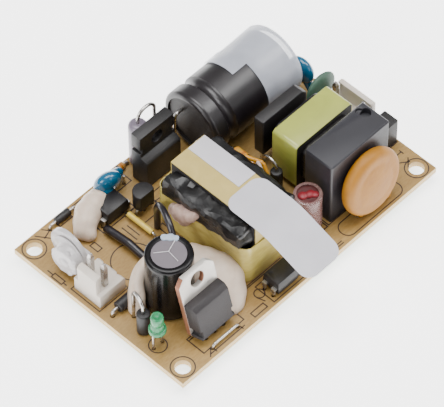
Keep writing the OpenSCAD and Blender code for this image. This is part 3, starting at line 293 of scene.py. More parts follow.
def complete(piece, name, material, slot, *nodes):
    """Names a finished piece, gives it its material and seats it in place of its solids."""
    piece.name = name
    piece.data.name = name
    wear(piece, material)
    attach(piece, "root")
    if nodes:
        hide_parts(*nodes)
    return piece


# The copper: broad fields and tracks, etched on the underside and covered by the mask. They
# are laid out as such boards are, and aren't a working circuit.
COPPER = 0.035
COPPER_CORNER = 0.9
POURS = (
    (-38, -11.6, -31.4, -1), (-38, 0.6, -32.2, 4.4), (-38, 5, -30.6, 15.4),
    (-30, -24, -24.6, -12), (-23.8, -24, -16.4, -14.4), (-29.6, -10.4, -12, -4.6),
    (-29, -3.6, -14, 3.4), (-28, 5, -17, 13), (-27, 16.4, -19.6, 24), (-18.4, 15, -8.6, 24),
    (-15.4, 7, -9.4, 13.8), (-7.4, 15.6, 4.6, 24), (6, 8, 16.4, 15.4), (6, 17, 16.4, 24),
    (17.6, 6.4, 28.6, 24), (30, 5, 38, 15.6), (12.6, -6, 20, 4.4), (21, -6, 28.8, 4.4),
    (30.6, -9, 38, -3), (30.6, -1.6, 38, 3.6), (11, -18.6, 19.6, -8.4), (21, -18.6, 29.4, -8.4),
    (13, -24, 22, -20), (23.4, -24, 31.4, -20), (3.6, -24, 10.6, -12), (-8.6, -24, 1.6, -17.6),
    (30.6, -17.4, 38, -10.4),
)
TRACKS = (
    (-10.6, -12, -10.6, 4, 1.0), (2.6, -12, 2.6, 4, 1.0), (-6.6, -7, 0.4, -7, 0.7),
    (-6.4, 7.4, 0.4, 7.4, 0.7), (-4, -6, -4, -3, 0.6), (-2.6, 5.6, -2.6, 12, 0.6),
    (-16, -12, -11, -12, 0.9), (5.4, -8, 11, -8, 0.9), (-30, 20.4, -28, 20.4, 0.9),
    (4.6, 6, 11.4, 6, 0.8), (-6, 13.4, 3.6, 13.4, 0.8),
)


def patch(x0, y0, x1, y1, z, corner, steps):
    """A flat rectangle between two corners in millimetres, at a height z, with round corners."""
    piece = start(
        bpy.ops.mesh.primitive_plane_add, size=1, scale=((x1 - x0) * MM, (y1 - y0) * MM, 1),
        location=((x0 + x1) / 2 * MM, (y0 + y1) / 2 * MM, z),
    )
    edit_all()
    bpy.ops.mesh.bevel(offset=corner * MM, segments=steps, affect="VERTICES")
    end_edit()
    return piece


def pour(x0, y0, x1, y1):
    """One field of copper, its corners etched round as far as its width lets them be."""
    corner = min(COPPER_CORNER, (x1 - x0) / 2.2, (y1 - y0) / 2.2)
    piece = patch(x0, y0, x1, y1, 0, corner, 5)
    modify(piece, "SOLIDIFY", thickness=COPPER * MM, offset=-1)
    return piece


copper_parts = [pour(*field) for field in POURS]
for x0, y0, x1, y1, width in TRACKS:
    half = width / 2
    copper_parts.append(
        pour(min(x0, x1) - half, min(y0, y1) - half, max(x0, x1) + half, max(y0, y1) + half)
    )

# Solder mask over copper: screened green resin, thin enough for the metal to lighten it.
masked, *_ = two_toned(
    "green_mask_over_copper", "#5d7a30", "#74923f", 4, surface={"Roughness": 0.3}
)
complete(unite(copper_parts), "copper_pours", masked, "paper_board")

# The component print is screened on in dark brown ink. Only its plain outlines are drawn.
INK_LINE = 0.28
INK_FILM = 0.03


def inked(piece, line=None):
    """Insets a flat shape by a line's width, takes its middle out and gives the ink its film."""
    edit_all()
    if line:
        bpy.ops.mesh.inset(thickness=line * MM, depth=0)
        bpy.ops.mesh.delete(type="FACE")
    end_edit()
    modify(piece, "SOLIDIFY", thickness=INK_FILM * MM, offset=-1)
    return piece


def ring_mark(x, y, radius):
    """An inked ring."""
    return inked(start(
        bpy.ops.mesh.primitive_circle_add, vertices=72, radius=radius * MM, fill_type="NGON",
        location=at(x, y, INK_FILM),
    ), INK_LINE)


def box_mark(x0, y0, x1, y1, corner=0.05):
    """An inked outline of a box."""
    return inked(patch(x0, y0, x1, y1, top_z + INK_FILM * MM, corner, 10), INK_LINE)


def line_mark(x0, y0, x1, y1):
    """An inked stroke between two points."""
    run = Vector((x1 - x0, y1 - y0, 0))
    return inked(start(
        bpy.ops.mesh.primitive_plane_add, size=1, scale=(run.length * MM, INK_LINE * MM, 1),
        location=at((x0 + x1) / 2, (y0 + y1) / 2, INK_FILM),
        rotation=(0, 0, math.atan2(run.y, run.x)),
    ))


RINGS = (
    (36, 22, 2.75), (36, -22, 2.75), (-36, 22, 2.75), (-36, -22, 2.75), (-23.8, 4.5, 5.0),
    (-11.45, -20.5, 1.3), (-35.6, -14.4, 2.1), (33.5, 11, 3.4),
)
BOXES = (
    (-38.1, 0.3, -29.3, 9.1), (-30.6, -22.9, -18.4, -17.6), (-11, -24.4, -1.7, -18.6),
    (-23, 14.2, -13.2, 19.8), (-15.3, 9.8, -9.2, 14.6), (-38.7, 11.1, -37.3, 14.4),
    (11.6, -18.9, 31.1, -10.5), (30.2, -14.3, 38.6, -9.6), (-22.9, 19.9, -8.7, 24.4),
    (-9.3, 10.3, -3.9, 14.6), (-13.9, 3.2, -12.2, 7.3), (-31, 9.2, -28.9, 10.6),
    (-27.4, 11.6, -25.8, 14.2), (-28.2, 22.1, -24.3, 24.3), (-16.6, -24.2, -12.6, -22.6),
    (5.0, -19, 11.4, -12.6), (31.4, -8.9, 38.4, 3.1),
)
LINES = (
    (-14.2, -17.3, -1.6, -17.3), (-14.2, -17.7, -1.6, -17.7), (-38, 10.2, -38, 11.1),
    (-38, 14.4, -38, 16), (-33.6, 24.4, -31, 20.6), (-31.4, 24.6, -28.8, 20.8),
    (-32.6, 22.4, -30.2, 23.2), (-30.6, -18.3, -18.4, -18.3), (34.2, -16.6, 37, -16.6),
    (34.2, -17.3, 34.2, -16), (37, -17.3, 37, -16), (-12.6, -20.9, -12, -22.8),
    (-29.6, -23.9, -19.4, -23.9), (-9.3, 12.4, -3.9, 12.4), (-20.4, 8.0, -20.4, 12.6),
    (-19.2, 8.0, -19.2, 12.6), (-18.0, 8.4, -18.0, 12.2), (-30.2, -24.4, -28.6, -22.9),
    (-28.2, -23.4, -28.2, -24.4), (-20.3, -23.4, -20.3, -24.4), (-34.3, -11.3, -33.0, -8.6),
    (6.0, -24.2, 10.6, -24.2), (6.0, -23.6, 10.6, -23.6), (33.8, -17.9, 36.4, -19.8),
    (34.9, -20.6, 36.9, -18.7),
)
marks = [ring_mark(*ring) for ring in RINGS] + [box_mark(*box) for box in BOXES]
marks += [line_mark(*line) for line in LINES]
marks.append(box_mark(11.9, -24.4, 30.3, -20, corner=2.1))
board_print = unite(marks)

# Ink: pigmented epoxy, screened in a thin film, so its tone breaks up a little.
ink, *_ = two_toned("screened_brown_ink", "#1c130c", "#4a3422", 0.5, 2.0, {"Roughness": 0.55})
complete(board_print, "board_print", ink, "paper_board")

# ---------------------------------------------------------------- Leads and solder
# Component legs of tinned copper and steel wire, bent and cut, and the joints that hold them
# from below. The tin is bright where it was drawn and duller where flux dried on it.


def tinned(name, dark, light, rough, streak_mm):
    """Bare or tinned metal: bright, with drawing streaks and duller patches."""
    material, tree, shader, _, streak = two_toned(
        name, dark, light, streak_mm, 4.0, {"Metallic": 1.0}
    )
    dull = add_node(
        tree, "MapRange",
        {"Value": streak.outputs["Fac"], "To Min": rough * 0.7, "To Max": rough * 1.4},
    )
    tree.links.new(dull.outputs[0], shader.inputs["Roughness"])
    return material


dress(
    tinned("tinned_copper_wire", "#8f8a85", "#dcd9d5", 0.26, 1.5),
    "capacitor_leads", "transistor_leads", "axial_leads", "optocoupler_leads", "connector_posts",
    "bare_jumpers", "bobbin_pins", "radial_leads",
)
dress(tinned("soldered_tin", "#9a9a9e", "#e2e2e6", 0.2, 0.8), "solder_joints")

# ---------------------------------------------------------------- Moulded packages
# Transistors, bridge, optocouplers and the chip are transfer moulded in black epoxy, with a
# fine matt grain and rounded edges. The diodes are moulded round on their leads.

# Points nearer than this are made one.
MERGE = 0.002 * MM


def smooth_below(degrees):
    """Shades the picked piece smooth, except over edges sharper than this."""
    bpy.ops.object.shade_smooth_by_angle(angle=math.radians(degrees))


def soften(node, width, segments=2):
    """Copies a solid, closes its loose triangles into faces and rounds its edges."""
    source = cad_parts[node]
    piece = source.copy()
    piece.data = source.data.copy()
    bpy.context.scene.collection.objects.link(piece)
    for key in list(piece.keys()):
        del piece[key]
    pick(piece)
    edit_all()
    bpy.ops.mesh.remove_doubles(threshold=MERGE)
    bpy.ops.mesh.dissolve_limited(angle_limit=math.radians(1))
    end_edit()
    modify(
        piece, "BEVEL", width=width * MM, segments=segments, limit_method="ANGLE",
        angle_limit=math.radians(35), use_clamp_overlap=True,
    )
    smooth_below(40)
    return piece


def moulding(name, dark, light, gloss, grain_mm, grain, coat=0.0):
    """Moulded plastic: a slow drift of tone and the fine grain that the mould leaves."""
    material, tree, shader, place, _ = two_toned(
        name, dark, light, 5, surface={"Coat Weight": coat}
    )
    fine = add_node(
        tree, "TexNoise", {"Vector": place, "Scale": 1 / (grain_mm * MM), "Detail": 4.0}
    )
    rough = add_node(
        tree, "MapRange",
        {"Value": fine.outputs["Fac"], "To Min": max(0.03, gloss - 0.08), "To Max": gloss + 0.08},
    )
    tree.links.new(rough.outputs[0], shader.inputs["Roughness"])
    relief = add_node(
        tree, "Bump", {"Height": fine.outputs["Fac"], "Strength": grain, "Distance": 0.05 * MM}
    )
    tree.links.new(relief.outputs["Normal"], shader.inputs["Normal"])
    return material


# Grain 0.25 mm: coarser than the real 0.05 mm, which would be too fine to show.
black_epoxy = moulding("moulded_black_epoxy", "#0c0a0b", "#1a1718", 0.5, 0.25, 0.35)
grey_epoxy = moulding("moulded_charcoal_epoxy", "#1c181a", "#2a2526", 0.6, 0.3, 1.0)
for node, width, finish in (
    ("switch_transistor", 0.18, black_epoxy), ("rectifier_body", 0.2, grey_epoxy),
    ("shunt_regulator", 0.12, black_epoxy), ("bridge_rectifier", 0.22, black_epoxy),
    ("feedback_optocoupler", 0.1, black_epoxy), ("protection_optocoupler", 0.1, black_epoxy),
    ("controller_chip", 0.06, black_epoxy), ("output_diode", 0.25, black_epoxy),
    ("damping_diode", 0.25, black_epoxy), ("clamp_diode", 0.25, black_epoxy),
    ("signal_diode", 0.2, black_epoxy), ("fuse_block", 0.15, black_epoxy),
):
    complete(soften(node, width), node + "_moulding", finish, "mould_compound", node)

# ---------------------------------------------------------------- Rectifier tab
# The rectifier's heat spreader: copper strip, punched, then tinned with the frame, so the
# faces are pale and the sheared edges still show the copper.
tab_finish, tree, shader, place = new_finish(
    "punched_tinned_copper", {"Metallic": 0.55, "Roughness": 0.42}
)
cloud = add_node(tree, "TexNoise", {"Vector": place, "Scale": 1 / (3 * MM), "Detail": 4.0})
facing = add_node(tree, "SeparateXYZ", {0: add_node(tree, "NewGeometry").outputs["Normal"]})
sheared = add_node(tree, "Math", {0: facing.outputs["X"], 1: -0.55}, operation="LESS_THAN")
tin_tone = add_node(
    tree, "Mix",
    {0: cloud.outputs["Fac"], 6: srgb("#bdb6ad"), 7: srgb("#e6e1da")},
    data_type="RGBA",
)
tab_tone = add_node(
    tree, "Mix",
    {0: sheared.outputs[0], 6: tin_tone.outputs[2], 7: srgb("#9c6a52")},
    data_type="RGBA",
)
tree.links.new(tab_tone.outputs[2], shader.inputs["Base Color"])
complete(
    soften("rectifier_tab", 0.12), "rectifier_heat_tab", tab_finish, "tinned_tab", "rectifier_tab",
)

# ---------------------------------------------------------------- Lying bulk capacitor
# An aluminium electrolytic laid on its side: can crimped on to a rubber bung, black sleeve
# shrunk over it, and a milky insulating cap slipped over the far end.


def shrunk_sleeve(name, dark, light, gloss, shine):
    """Shrunk vinyl sleeve: glossy black, with slow ripples where it pulled tight."""
    material, tree, shader, _, ripple = two_toned(
        name, dark, light, 6, 2.0, {"Roughness": gloss, "Specular IOR Level": shine}
    )
    draw = add_node(
        tree, "Bump", {"Height": ripple.outputs["Fac"], "Strength": 0.25, "Distance": 0.4 * MM}
    )
    tree.links.new(draw.outputs["Normal"], shader.inputs["Normal"])
    return material


dress(shrunk_sleeve("shrunk_black_sleeve", "#0d0a0c", "#1d181b", 0.34, 0.6), "bulk_capacitor")
dress(
    moulding("moulded_bung_rubber", "#161314", "#262122", 0.55, 0.4, 0.3), "bulk_capacitor_bung",
)


def turned(x, y, rings, steps=64):
    """A turned form: a circle drawn up ring by ring, each a height and a radius."""
    (low, first), *others = rings
    piece = start(
        bpy.ops.mesh.primitive_circle_add, vertices=steps, radius=first * MM, fill_type="NOTHING",
        location=at(x, y, low),
    )
    edit_all()
    for height, radius in others:
        rise = (0, 0, (height - low) * MM)
        bpy.ops.mesh.extrude_region_move(TRANSFORM_OT_translate={"value": rise})
        share = radius / first
        bpy.ops.transform.resize(value=(share, share, 1), center_override=at(x, y, height))
        low, first = height, radius
    end_edit()
    return piece


def closed(piece):
    """Merges what meets and turns every face outwards."""
    pick(piece)
    edit_all()
    bpy.ops.mesh.remove_doubles(threshold=MERGE)
    bpy.ops.mesh.normals_make_consistent(inside=False)
    end_edit()
    return piece


def filled(piece):
    """Closes the open ends of a turned form, so that it is solid."""
    pick(piece)
    bpy.ops.object.mode_set(mode="EDIT")
    bpy.ops.mesh.select_mode(type="EDGE")
    bpy.ops.mesh.select_all(action="DESELECT")
    bpy.ops.mesh.select_non_manifold()
    bpy.ops.mesh.fill_holes(sides=0)
    end_edit()
    return closed(piece)


def choose(piece, kind, test):
    """In edit mode, selects the vertices, edges or faces whose middle passes the test."""
    bpy.ops.mesh.select_mode(type=kind)
    bpy.ops.mesh.select_all(action="DESELECT")
    mesh = bmesh.from_edit_mesh(piece.data)
    parts = {"VERT": mesh.verts, "EDGE": mesh.edges, "FACE": mesh.faces}[kind]
    for part in parts:
        corners = [part] if kind == "VERT" else part.verts
        middle = sum((v.co for v in corners), Vector()) / len(corners)
        if test(middle):
            part.select_set(True)
    mesh.select_flush_mode()
    bmesh.update_edit_mesh(piece.data)


# The cap: a tube of film, its outer rim drawn in and one tongue of its lap left standing at
# its near rim. It is turned upright on the board and then laid along the can.
CAP_LENGTH = 11
CAP_TONGUE = 4.2
CAP_FILM = 0.12
film_low, film_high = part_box("bulk_capacitor_film")
film_mid_y = (film_low.y + film_high.y) / 2 / MM
film_mid_h = ((film_low.z + film_high.z) / 2 - top_z) / MM
film_r = (film_high.y - film_low.y) / 2 / MM
film_end = film_high.x / MM
cap = turned(0, 0, [
    (0, film_r + 0.04), (0.3, film_r - 0.14), (3, film_r - 0.12), (6, film_r - 0.05),
    (9, film_r + 0.05), (10.2, film_r + 0.05), (10.75, film_r - 0.25),
    (CAP_LENGTH, film_r - 1.0), (CAP_LENGTH, film_r - 1.9),
], steps=96)
bpy.ops.object.mode_set(mode="EDIT")
tongue_from, tongue_to = math.radians(124), math.radians(192)
choose(cap, "EDGE", lambda p: p.z < top_z + 0.01 * MM
       and tongue_from < math.atan2(p.y, p.x) % (2 * math.pi) < tongue_to)
bpy.ops.mesh.extrude_region_move(TRANSFORM_OT_translate={"value": (0, 0, -CAP_TONGUE * MM)})
bpy.ops.mesh.select_mode(type="VERT")
bpy.ops.mesh.select_all(action="SELECT")
bpy.ops.transform.translate(value=tuple(-at(0, 0, 0)))
bpy.ops.transform.rotate(value=-math.pi / 2, orient_axis="Y", center_override=(0, 0, 0))
end_edit()
cap.location = at(film_end - CAP_LENGTH, film_mid_y, film_mid_h)
pick(cap)
bpy.ops.object.transform_apply(location=True, rotation=True, scale=True)
closed(cap)
modify(cap, "SOLIDIFY", thickness=CAP_FILM * MM, offset=0)
smooth_below(50)

# Cap film: milky polyester, satin, so it veils the black sleeve under it.
milky, *_ = two_toned(
    "milky_polyester_film", "#b4b8c4", "#d6d9e2", 5, surface={"Roughness": 0.28, "Alpha": 0.5}
)
complete(cap, "bulk_capacitor_cap", milky, "clear_film", "bulk_capacitor_film")

# ---------------------------------------------------------------- Upright output capacitor
# An electrolytic standing on the board: drawn aluminium can with a scored vent in its top,
# and a black sleeve whose shrunk rim folds over the edge of the can.


def stands(node):
    """Where a solid stands, in millimetres: its middle, its foot and its top over the board."""
    low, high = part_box(node)
    return (
        (low.x + high.x) / 2 / MM, (low.y + high.y) / 2 / MM,
        (low.z - top_z) / MM, (high.z - top_z) / MM,
    )


can_x, can_y, _, can_top = stands("output_capacitor_can")
dress(tinned("drawn_aluminium", "#6b656a", "#7d777c", 0.5, 2.0), "output_capacitor_can")
sleeve = turned(can_x, can_y, [
    (0.42, 4.0), (0.42, 4.9), (0.7, 5.12), (3, 5.12), (9, 5.12), (can_top - 1.2, 5.12),
    (can_top - 0.5, 5.16), (can_top - 0.1, 5.1), (can_top + 0.1, 4.85), (can_top + 0.14, 4.4),
    (can_top + 0.06, 3.8),
])
modify(closed(sleeve), "SOLIDIFY", thickness=0.14 * MM, offset=0)
smooth_below(50)
tight = shrunk_sleeve("tight_black_sleeve", "#070607", "#0f0d0f", 0.22, 0.25)
complete(sleeve, "output_capacitor_shrink", tight, "black_sleeve", "output_capacitor_sleeve")

# The vent: three scores pressed into the can's end, drawn as pale raised lines: painted highlight.
SCORE_LENGTH = 3.2
scores = []
for i in range(3):
    turn = math.radians(20 + i * 121)
    scores.append(start(
        bpy.ops.mesh.primitive_cube_add, size=1, rotation=(0, 0, turn),
        scale=(SCORE_LENGTH * MM, 0.2 * MM, 0.08 * MM),
        location=at(
            can_x + 0.4 + SCORE_LENGTH / 2 * math.cos(turn),
            can_y + 0.5 + SCORE_LENGTH / 2 * math.sin(turn), can_top + 0.02,
        ),
    ))
    edit_all()
    bpy.ops.mesh.bevel(offset=0.03 * MM, segments=2, affect="EDGES")
    end_edit()
complete(
    unite(scores), "output_capacitor_vent",
    # Pale metal for the scores: painted highlight where their edges catch the light.
    tinned("vent_painted_highlight_metal", "#b5afb3", "#d6d1d4", 0.4, 0.8), "can_aluminium",
)

# ---------------------------------------------------------------- Resistors and chips
# A grey coated start-up resistor stands at the back edge. Small tan ones lie on the board,
# with plain colour bands rolled on over the lacquer, and chips are soldered below it.


def banded(name, base, bands, axis, start_mm, step_mm):
    """Dipped lacquer with rolled-on bands, evenly stepped along one axis."""
    material, tree, shader, place = new_finish(name, {"Roughness": 0.28, "Coat Weight": 0.3})
    along = add_node(tree, "SeparateXYZ", {0: place}).outputs[axis]
    cloudy = add_node(tree, "TexNoise", {"Vector": place, "Scale": 1 / (1.5 * MM), "Detail": 3.0})
    dark = (*(c * 0.75 for c in srgb(base)[:3]), 1.0)
    tone = add_node(
        tree, "Mix", {0: cloudy.outputs["Fac"], 6: dark, 7: srgb(base)}, data_type="RGBA"
    ).outputs[2]
    for i, band in enumerate(bands):
        middle = (start_mm + i * step_mm) * MM
        here = add_node(
            tree, "Math", {0: along, 1: middle, 2: step_mm * 0.26 * MM}, operation="COMPARE"
        )
        tone = add_node(
            tree, "Mix", {0: here.outputs[0], 6: tone, 7: srgb(band)}, data_type="RGBA"
        ).outputs[2]
    tree.links.new(tone, shader.inputs["Base Color"])
    return material


complete(
    soften("startup_resistor", 0.1), "startup_resistor_body",
    moulding("grey_resistor_coating", "#5d5460", "#7a7080", 0.35, 1.2, 0.3, coat=0.2),
    "resistor_grey", "startup_resistor",
)
complete(
    soften("snubber_resistor", 0.5, 3), "snubber_resistor_body",
    banded(
        "tan_resistor_lacquer", "#c98a2c", ["#5a2a10", "#1a1310", "#a8641c", "#b89030"],
        "Y", 0.9, 1.15,
    ),
    "resistor_tan", "snubber_resistor",
)
complete(
    soften("sense_resistor", 0.35, 3), "sense_resistor_body",
    banded(
        "small_resistor_lacquer", "#b9884a", ["#5a2a10", "#1a1310", "#a8641c"], "X", -10.1, 0.9,
    ),
    "resistor_tan", "sense_resistor",
)
complete(
    soften("chip_resistors", 0.05), "chip_resistor_bodies",
    moulding("glazed_chip_resistor", "#0e0d10", "#1c1a1f", 0.3, 0.3, 0.1),
    "ceramic_chip", "chip_resistors",
)

# ---------------------------------------------------------------- Dipped discs
# Ceramic discs with both legs soldered on, dipped and cured: blue epoxy on the two line
# capacitors, green on the thermistor and a thick orange coat on the varistor.


def ball(x, y, h, radius, squash=(1, 1, 1), lean=(0, 0, 0)):
    """A ball of coat, squashed and then leant over by degrees."""
    return start(
        bpy.ops.mesh.primitive_uv_sphere_add, segments=32, ring_count=16, radius=radius * MM,
        location=at(x, y, h), scale=squash, rotation=tuple(math.radians(a) for a in lean),
    )


def limb(a, b, radius, end_radius=None):
    """A round limb between two points, as where a coating runs down a leg."""
    a, b = at(*a), at(*b)
    run = b - a
    return start(
        bpy.ops.mesh.primitive_cone_add, vertices=24, radius1=radius * MM,
        radius2=(end_radius or radius) * MM, depth=run.length, location=(a + b) / 2,
        rotation=run.to_track_quat("Z", "Y").to_euler(),
    )


def melt(parts, voxel, rounds):
    """Runs parts together into one skin, as a liquid coat does, and smooths it."""
    piece = unite(parts)
    modify(piece, "REMESH", mode="VOXEL", voxel_size=voxel * MM)
    modify(piece, "SMOOTH", factor=0.5, iterations=rounds)
    bpy.ops.object.shade_smooth()
    return piece


def dipped(name, dark, light, gloss, coat, lump_mm, lump):
    """A dipped and cured coat: glossy, thicker and deeper in tone in slow waves."""
    material, tree, shader, _, depth = two_toned(name, dark, light, lump_mm, surface={
        "Roughness": gloss, "Coat Weight": coat, "Coat Roughness": 0.08,
    })
    waves = add_node(
        tree, "Bump", {"Height": depth.outputs["Fac"], "Strength": lump, "Distance": 0.3 * MM}
    )
    tree.links.new(waves.outputs["Normal"], shader.inputs["Normal"])
    return material


blue_coat = dipped("blue_dipped_epoxy", "#00405c", "#006488", 0.22, 0.45, 2.5, 0.15)
front = melt([
    ball(-15.0, 20.9, 4.6, 3.3, (1, 0.62, 1.05), (20, 0, -15)),
    ball(-15.8, 20.8, 3.4, 2.4, (1, 0.85, 1)),
    limb((-13.8, 21.2, 4.2), (-10.6, 21.8, 3.3), 1.7, 1.15),
    limb((-10.6, 21.9, 3.4), (-10.4, 22.6, 0.7), 1.0, 0.6),
    limb((-16.4, 21.4, 3), (-18.1, 20.7, 0.8), 1.2, 0.7),
], 0.16, 8)
complete(front, "front_disc_coat", blue_coat, "blue_epoxy", "front_disc_capacitor")
rear = melt([
    ball(34.8, 11, 6.7, 3.5, (0.52, 1, 1)), limb((34.8, 9.4, 5), (34.8, 7.3, 1), 1.2, 0.7),
    limb((34.8, 12.6, 5), (34.8, 14.7, 1), 1.2, 0.7),
], 0.16, 8)
complete(rear, "rear_disc_coat", blue_coat, "blue_epoxy", "rear_disc_capacitor")
green = melt([
    ball(34.5, 5, 5.7, 4.3, (1, 0.32, 1)), limb((32.6, 5, 3.4), (32, 5, 0.5), 1.0, 0.65),
    limb((36.4, 5, 3.4), (37, 5, 0.5), 1.0, 0.65),
], 0.16, 10)
complete(
    green, "thermistor_coat",
    dipped("green_dipped_coating", "#2c4636", "#446252", 0.55, 0.0, 1.2, 0.3),
    "green_epoxy", "thermistor",
)
pill = start(
    bpy.ops.mesh.primitive_cylinder_add, vertices=72, radius=8.1 * MM, depth=3.6 * MM,
    location=at(21.6, -21.5, 8.6), rotation=(math.radians(82), 0, 0),
)
modify(
    pill, "BEVEL", width=1.7 * MM, segments=6, limit_method="ANGLE", angle_limit=math.radians(60),
)
orange = melt([
    pill, ball(21.6, -21.5, 8.6, 7.9, (1, 0.3, 1), (-8, 0, 0)),
    limb((25.0, -22.0, 4.6), (25.9, -22.2, 0.4), 1.9, 1.2),
    limb((27.6, -21.8, 6.4), (26.2, -22.2, 1.4), 1.2, 1.1),
    limb((18.6, -22.0, 3.4), (17.9, -22.2, 0.5), 1.2, 0.7),
], 0.22, 9)
complete(
    orange, "varistor_coat",
    dipped("orange_dipped_epoxy", "#8a5600", "#a46e00", 0.55, 0.0, 2.2, 0.35),
    "orange_epoxy", "varistor",
)

# ---------------------------------------------------------------- Trimmer
# A round adjuster that stands on edge at the output end: moulded plate, foot and knob, all
# sealed in place with a wipe of clear glue that leaves the knob lumpy.
trim_low, trim_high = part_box("trimmer_rotor")
trim_y = (trim_low.y + trim_high.y) / 2 / MM
trim_h = ((trim_low.z + trim_high.z) / 2 - top_z) / MM
knob_x = trim_high.x / MM
glue = [
    ball(knob_x - 0.4, trim_y - 0.8, trim_h, 4.35, (0.14, 1, 1)),
    limb(
        (knob_x, trim_y - 1.5, trim_h - 0.2), (knob_x - 2.9, trim_y - 1.7, trim_h - 0.2), 3.6, 3.4,
    ),
    ball(knob_x - 2.9, trim_y - 2.0, trim_h, 1.3, (0.4, 1, 1)),
    ball(knob_x - 2.8, trim_y - 0.4, trim_h - 1.4, 1.0, (0.4, 1, 1)),
]
LUMP_RING = 3.0
for i in range(8):
    turn = math.radians(15 + i * 45)
    glue.append(ball(
        knob_x - 2.4, trim_y - 1.7 + LUMP_RING * math.cos(turn),
        trim_h - 0.2 + LUMP_RING * math.sin(turn), 0.85, (0.8, 1, 1),
    ))
knob = melt(glue, 0.16, 5)
sealed = moulding("glue_sealed_plastic", "#a9a5a6", "#cbc7c6", 0.3, 1.4, 0.35, coat=0.3)
complete(knob, "trimmer_knob", sealed, "trimmer_white", "trimmer_rotor")
complete(soften("trimmer_body", 0.2), "trimmer_plate", sealed, "trimmer_white", "trimmer_body")

# ---------------------------------------------------------------- Connectors
# Two pin headers: square tinned posts pressed through a nylon housing, whose hooked wall
# holds the plug. Nylon is moulded a creamy white and slightly see-through.
nylon = moulding("moulded_white_nylon", "#c2b8ab", "#d6cdc2", 0.42, 0.6, 0.15)
nylon_shader = nylon.node_tree.nodes["Principled BSDF"]
nylon_shader.inputs["Subsurface Weight"].default_value = 0.2
nylon_shader.inputs["Subsurface Radius"].default_value = (0.001, 0.0008, 0.0006)
complete(soften("output_connector", 0.2), "output_header", nylon, "nylon", "output_connector")
complete(soften("input_connector", 0.2), "input_header", nylon, "nylon", "input_connector")

# ---------------------------------------------------------------- Indicator lamp
# A small light emitting diode, cast in green tinted epoxy: flanged foot, straight barrel and
# a flat top with a ring standing round its dished lens.
lamp_x, lamp_y, lamp_h, _ = stands("indicator_lamp")
LENS_PROFILE = (
    (0, 0.05), (0, 1.75), (0.12, 1.9), (0.95, 1.9), (1.1, 1.78), (1.15, 1.5), (2.6, 1.46),
    (2.75, 1.38), (2.9, 1.46), (4.6, 1.4), (5.1, 1.25), (5.25, 1.0), (5.1, 0.75), (4.8, 0.45),
    (4.75, 0.03),
)
lens = filled(turned(lamp_x, lamp_y, [(lamp_h + rise, r) for rise, r in LENS_PROFILE], steps=48))
smooth_below(50)

# Lens epoxy: cast in a polished mould, so glossy, and it lets a third of the light through.
tinted, *_ = two_toned("cast_green_epoxy", "#1d7d4c", "#3fae74", 1.2, 2.0, {
    "Roughness": 0.2, "Transmission Weight": 0.35, "IOR": 1.5,
})
complete(lens, "lamp_lens", tinted, "lamp_green", "indicator_lamp")

# ---------------------------------------------------------------- Jumpers and secondary lead
# Tinned copper in extruded vinyl, soldered at both ends: a yellow link, a black link, and the
# heavy black lead that carries the output from the transformer in one high arch.


def extruded_sleeve(name, dark, light, gloss):
    """Extruded insulation: even and glossy, with faint lengthwise drift."""
    return moulding(name, dark, light, gloss, 2.0, 0.2, coat=0.2)


dress(extruded_sleeve("yellow_sleeving", "#c9a93c", "#e0c65e", 0.3), "yellow_jumper")
black_insulation = extruded_sleeve("black_lead_insulation", "#0e0b11", "#1d181f", 0.32)
link = melt([
    limb((-22.2, 14.2, 0.9), (-22.3, 13.2, 1.6), 0.95),
    limb((-22.3, 13.4, 1.5), (-22.0, 7.5, 1.9), 0.95),
    limb((-22.0, 7.6, 1.9), (-22.3, 1.0, 1.5), 0.95),
], 0.16, 12)
complete(link, "black_link_sleeve", black_insulation, "wire_black", "black_jumper")
dress(black_insulation, "secondary_lead")

# ---------------------------------------------------------------- Transformer
# Two ground ferrite halves clamped round a phenolic bobbin by a wound strip of tape. A yellow
# tape jacket closes the lower bobbin, and crumpled black tape is pressed over the windings.
ferrite = moulding("ground_ferrite", "#1c1a1b", "#2c292a", 0.5, 0.3, 0.4)
phenolic = moulding("moulded_phenolic", "#0f0d0f", "#1a171a", 0.45, 0.3, 0.3)
dress(ferrite, "transformer_core")
dress(phenolic, "transformer_bobbin")
dress(tinned("enamelled_copper", "#5a2410", "#8a4020", 0.35, 1.0), "transformer_winding")


def taped(name, dark, light, gloss, wrinkle_mm, wrinkle, coat=0.3):
    """Polyester tape: thin glossy film over glue, drawn into shallow wrinkles."""
    material, tree, shader, place, fold = two_toned(name, dark, light, wrinkle_mm, 4.0, {
        "Roughness": gloss, "Coat Weight": coat, "Coat Roughness": 0.1,
    })
    wide = add_node(tree, "Mapping", {"Vector": place, "Scale": (1.0, 1.0, 2.5)})
    tree.links.new(wide.outputs[0], fold.inputs["Vector"])
    fold.inputs["Distortion"].default_value = 0.8
    pulled = add_node(
        tree, "Bump", {"Height": fold.outputs["Fac"], "Strength": wrinkle, "Distance": 0.5 * MM}
    )
    tree.links.new(pulled.outputs["Normal"], shader.inputs["Normal"])
    return material


def crumpled(piece, name, size_mm, depth_mm, basis="VORONOI_F1"):
    """Pushes a fine mesh in and out, as tape that was pressed on by hand."""
    creases = bpy.data.textures.new(name, "CLOUDS")
    creases.noise_basis = basis
    creases.noise_scale = size_mm * MM
    creases.noise_depth = 1
    modify(
        piece, "DISPLACE", texture=creases, texture_coords="LOCAL", strength=depth_mm * MM,
        mid_level=0.5,
    )


def cut(piece, tool, operation="DIFFERENCE"):
    """Cuts a piece with a tool, which is then thrown away."""
    modify(piece, "BOOLEAN", object=tool, operation=operation, solver="EXACT")
    bpy.data.objects.remove(tool)


dress(taped("beige_polyester_tape", "#a9934c", "#c6b26c", 0.3, 5.0, 0.12), "core_tape")

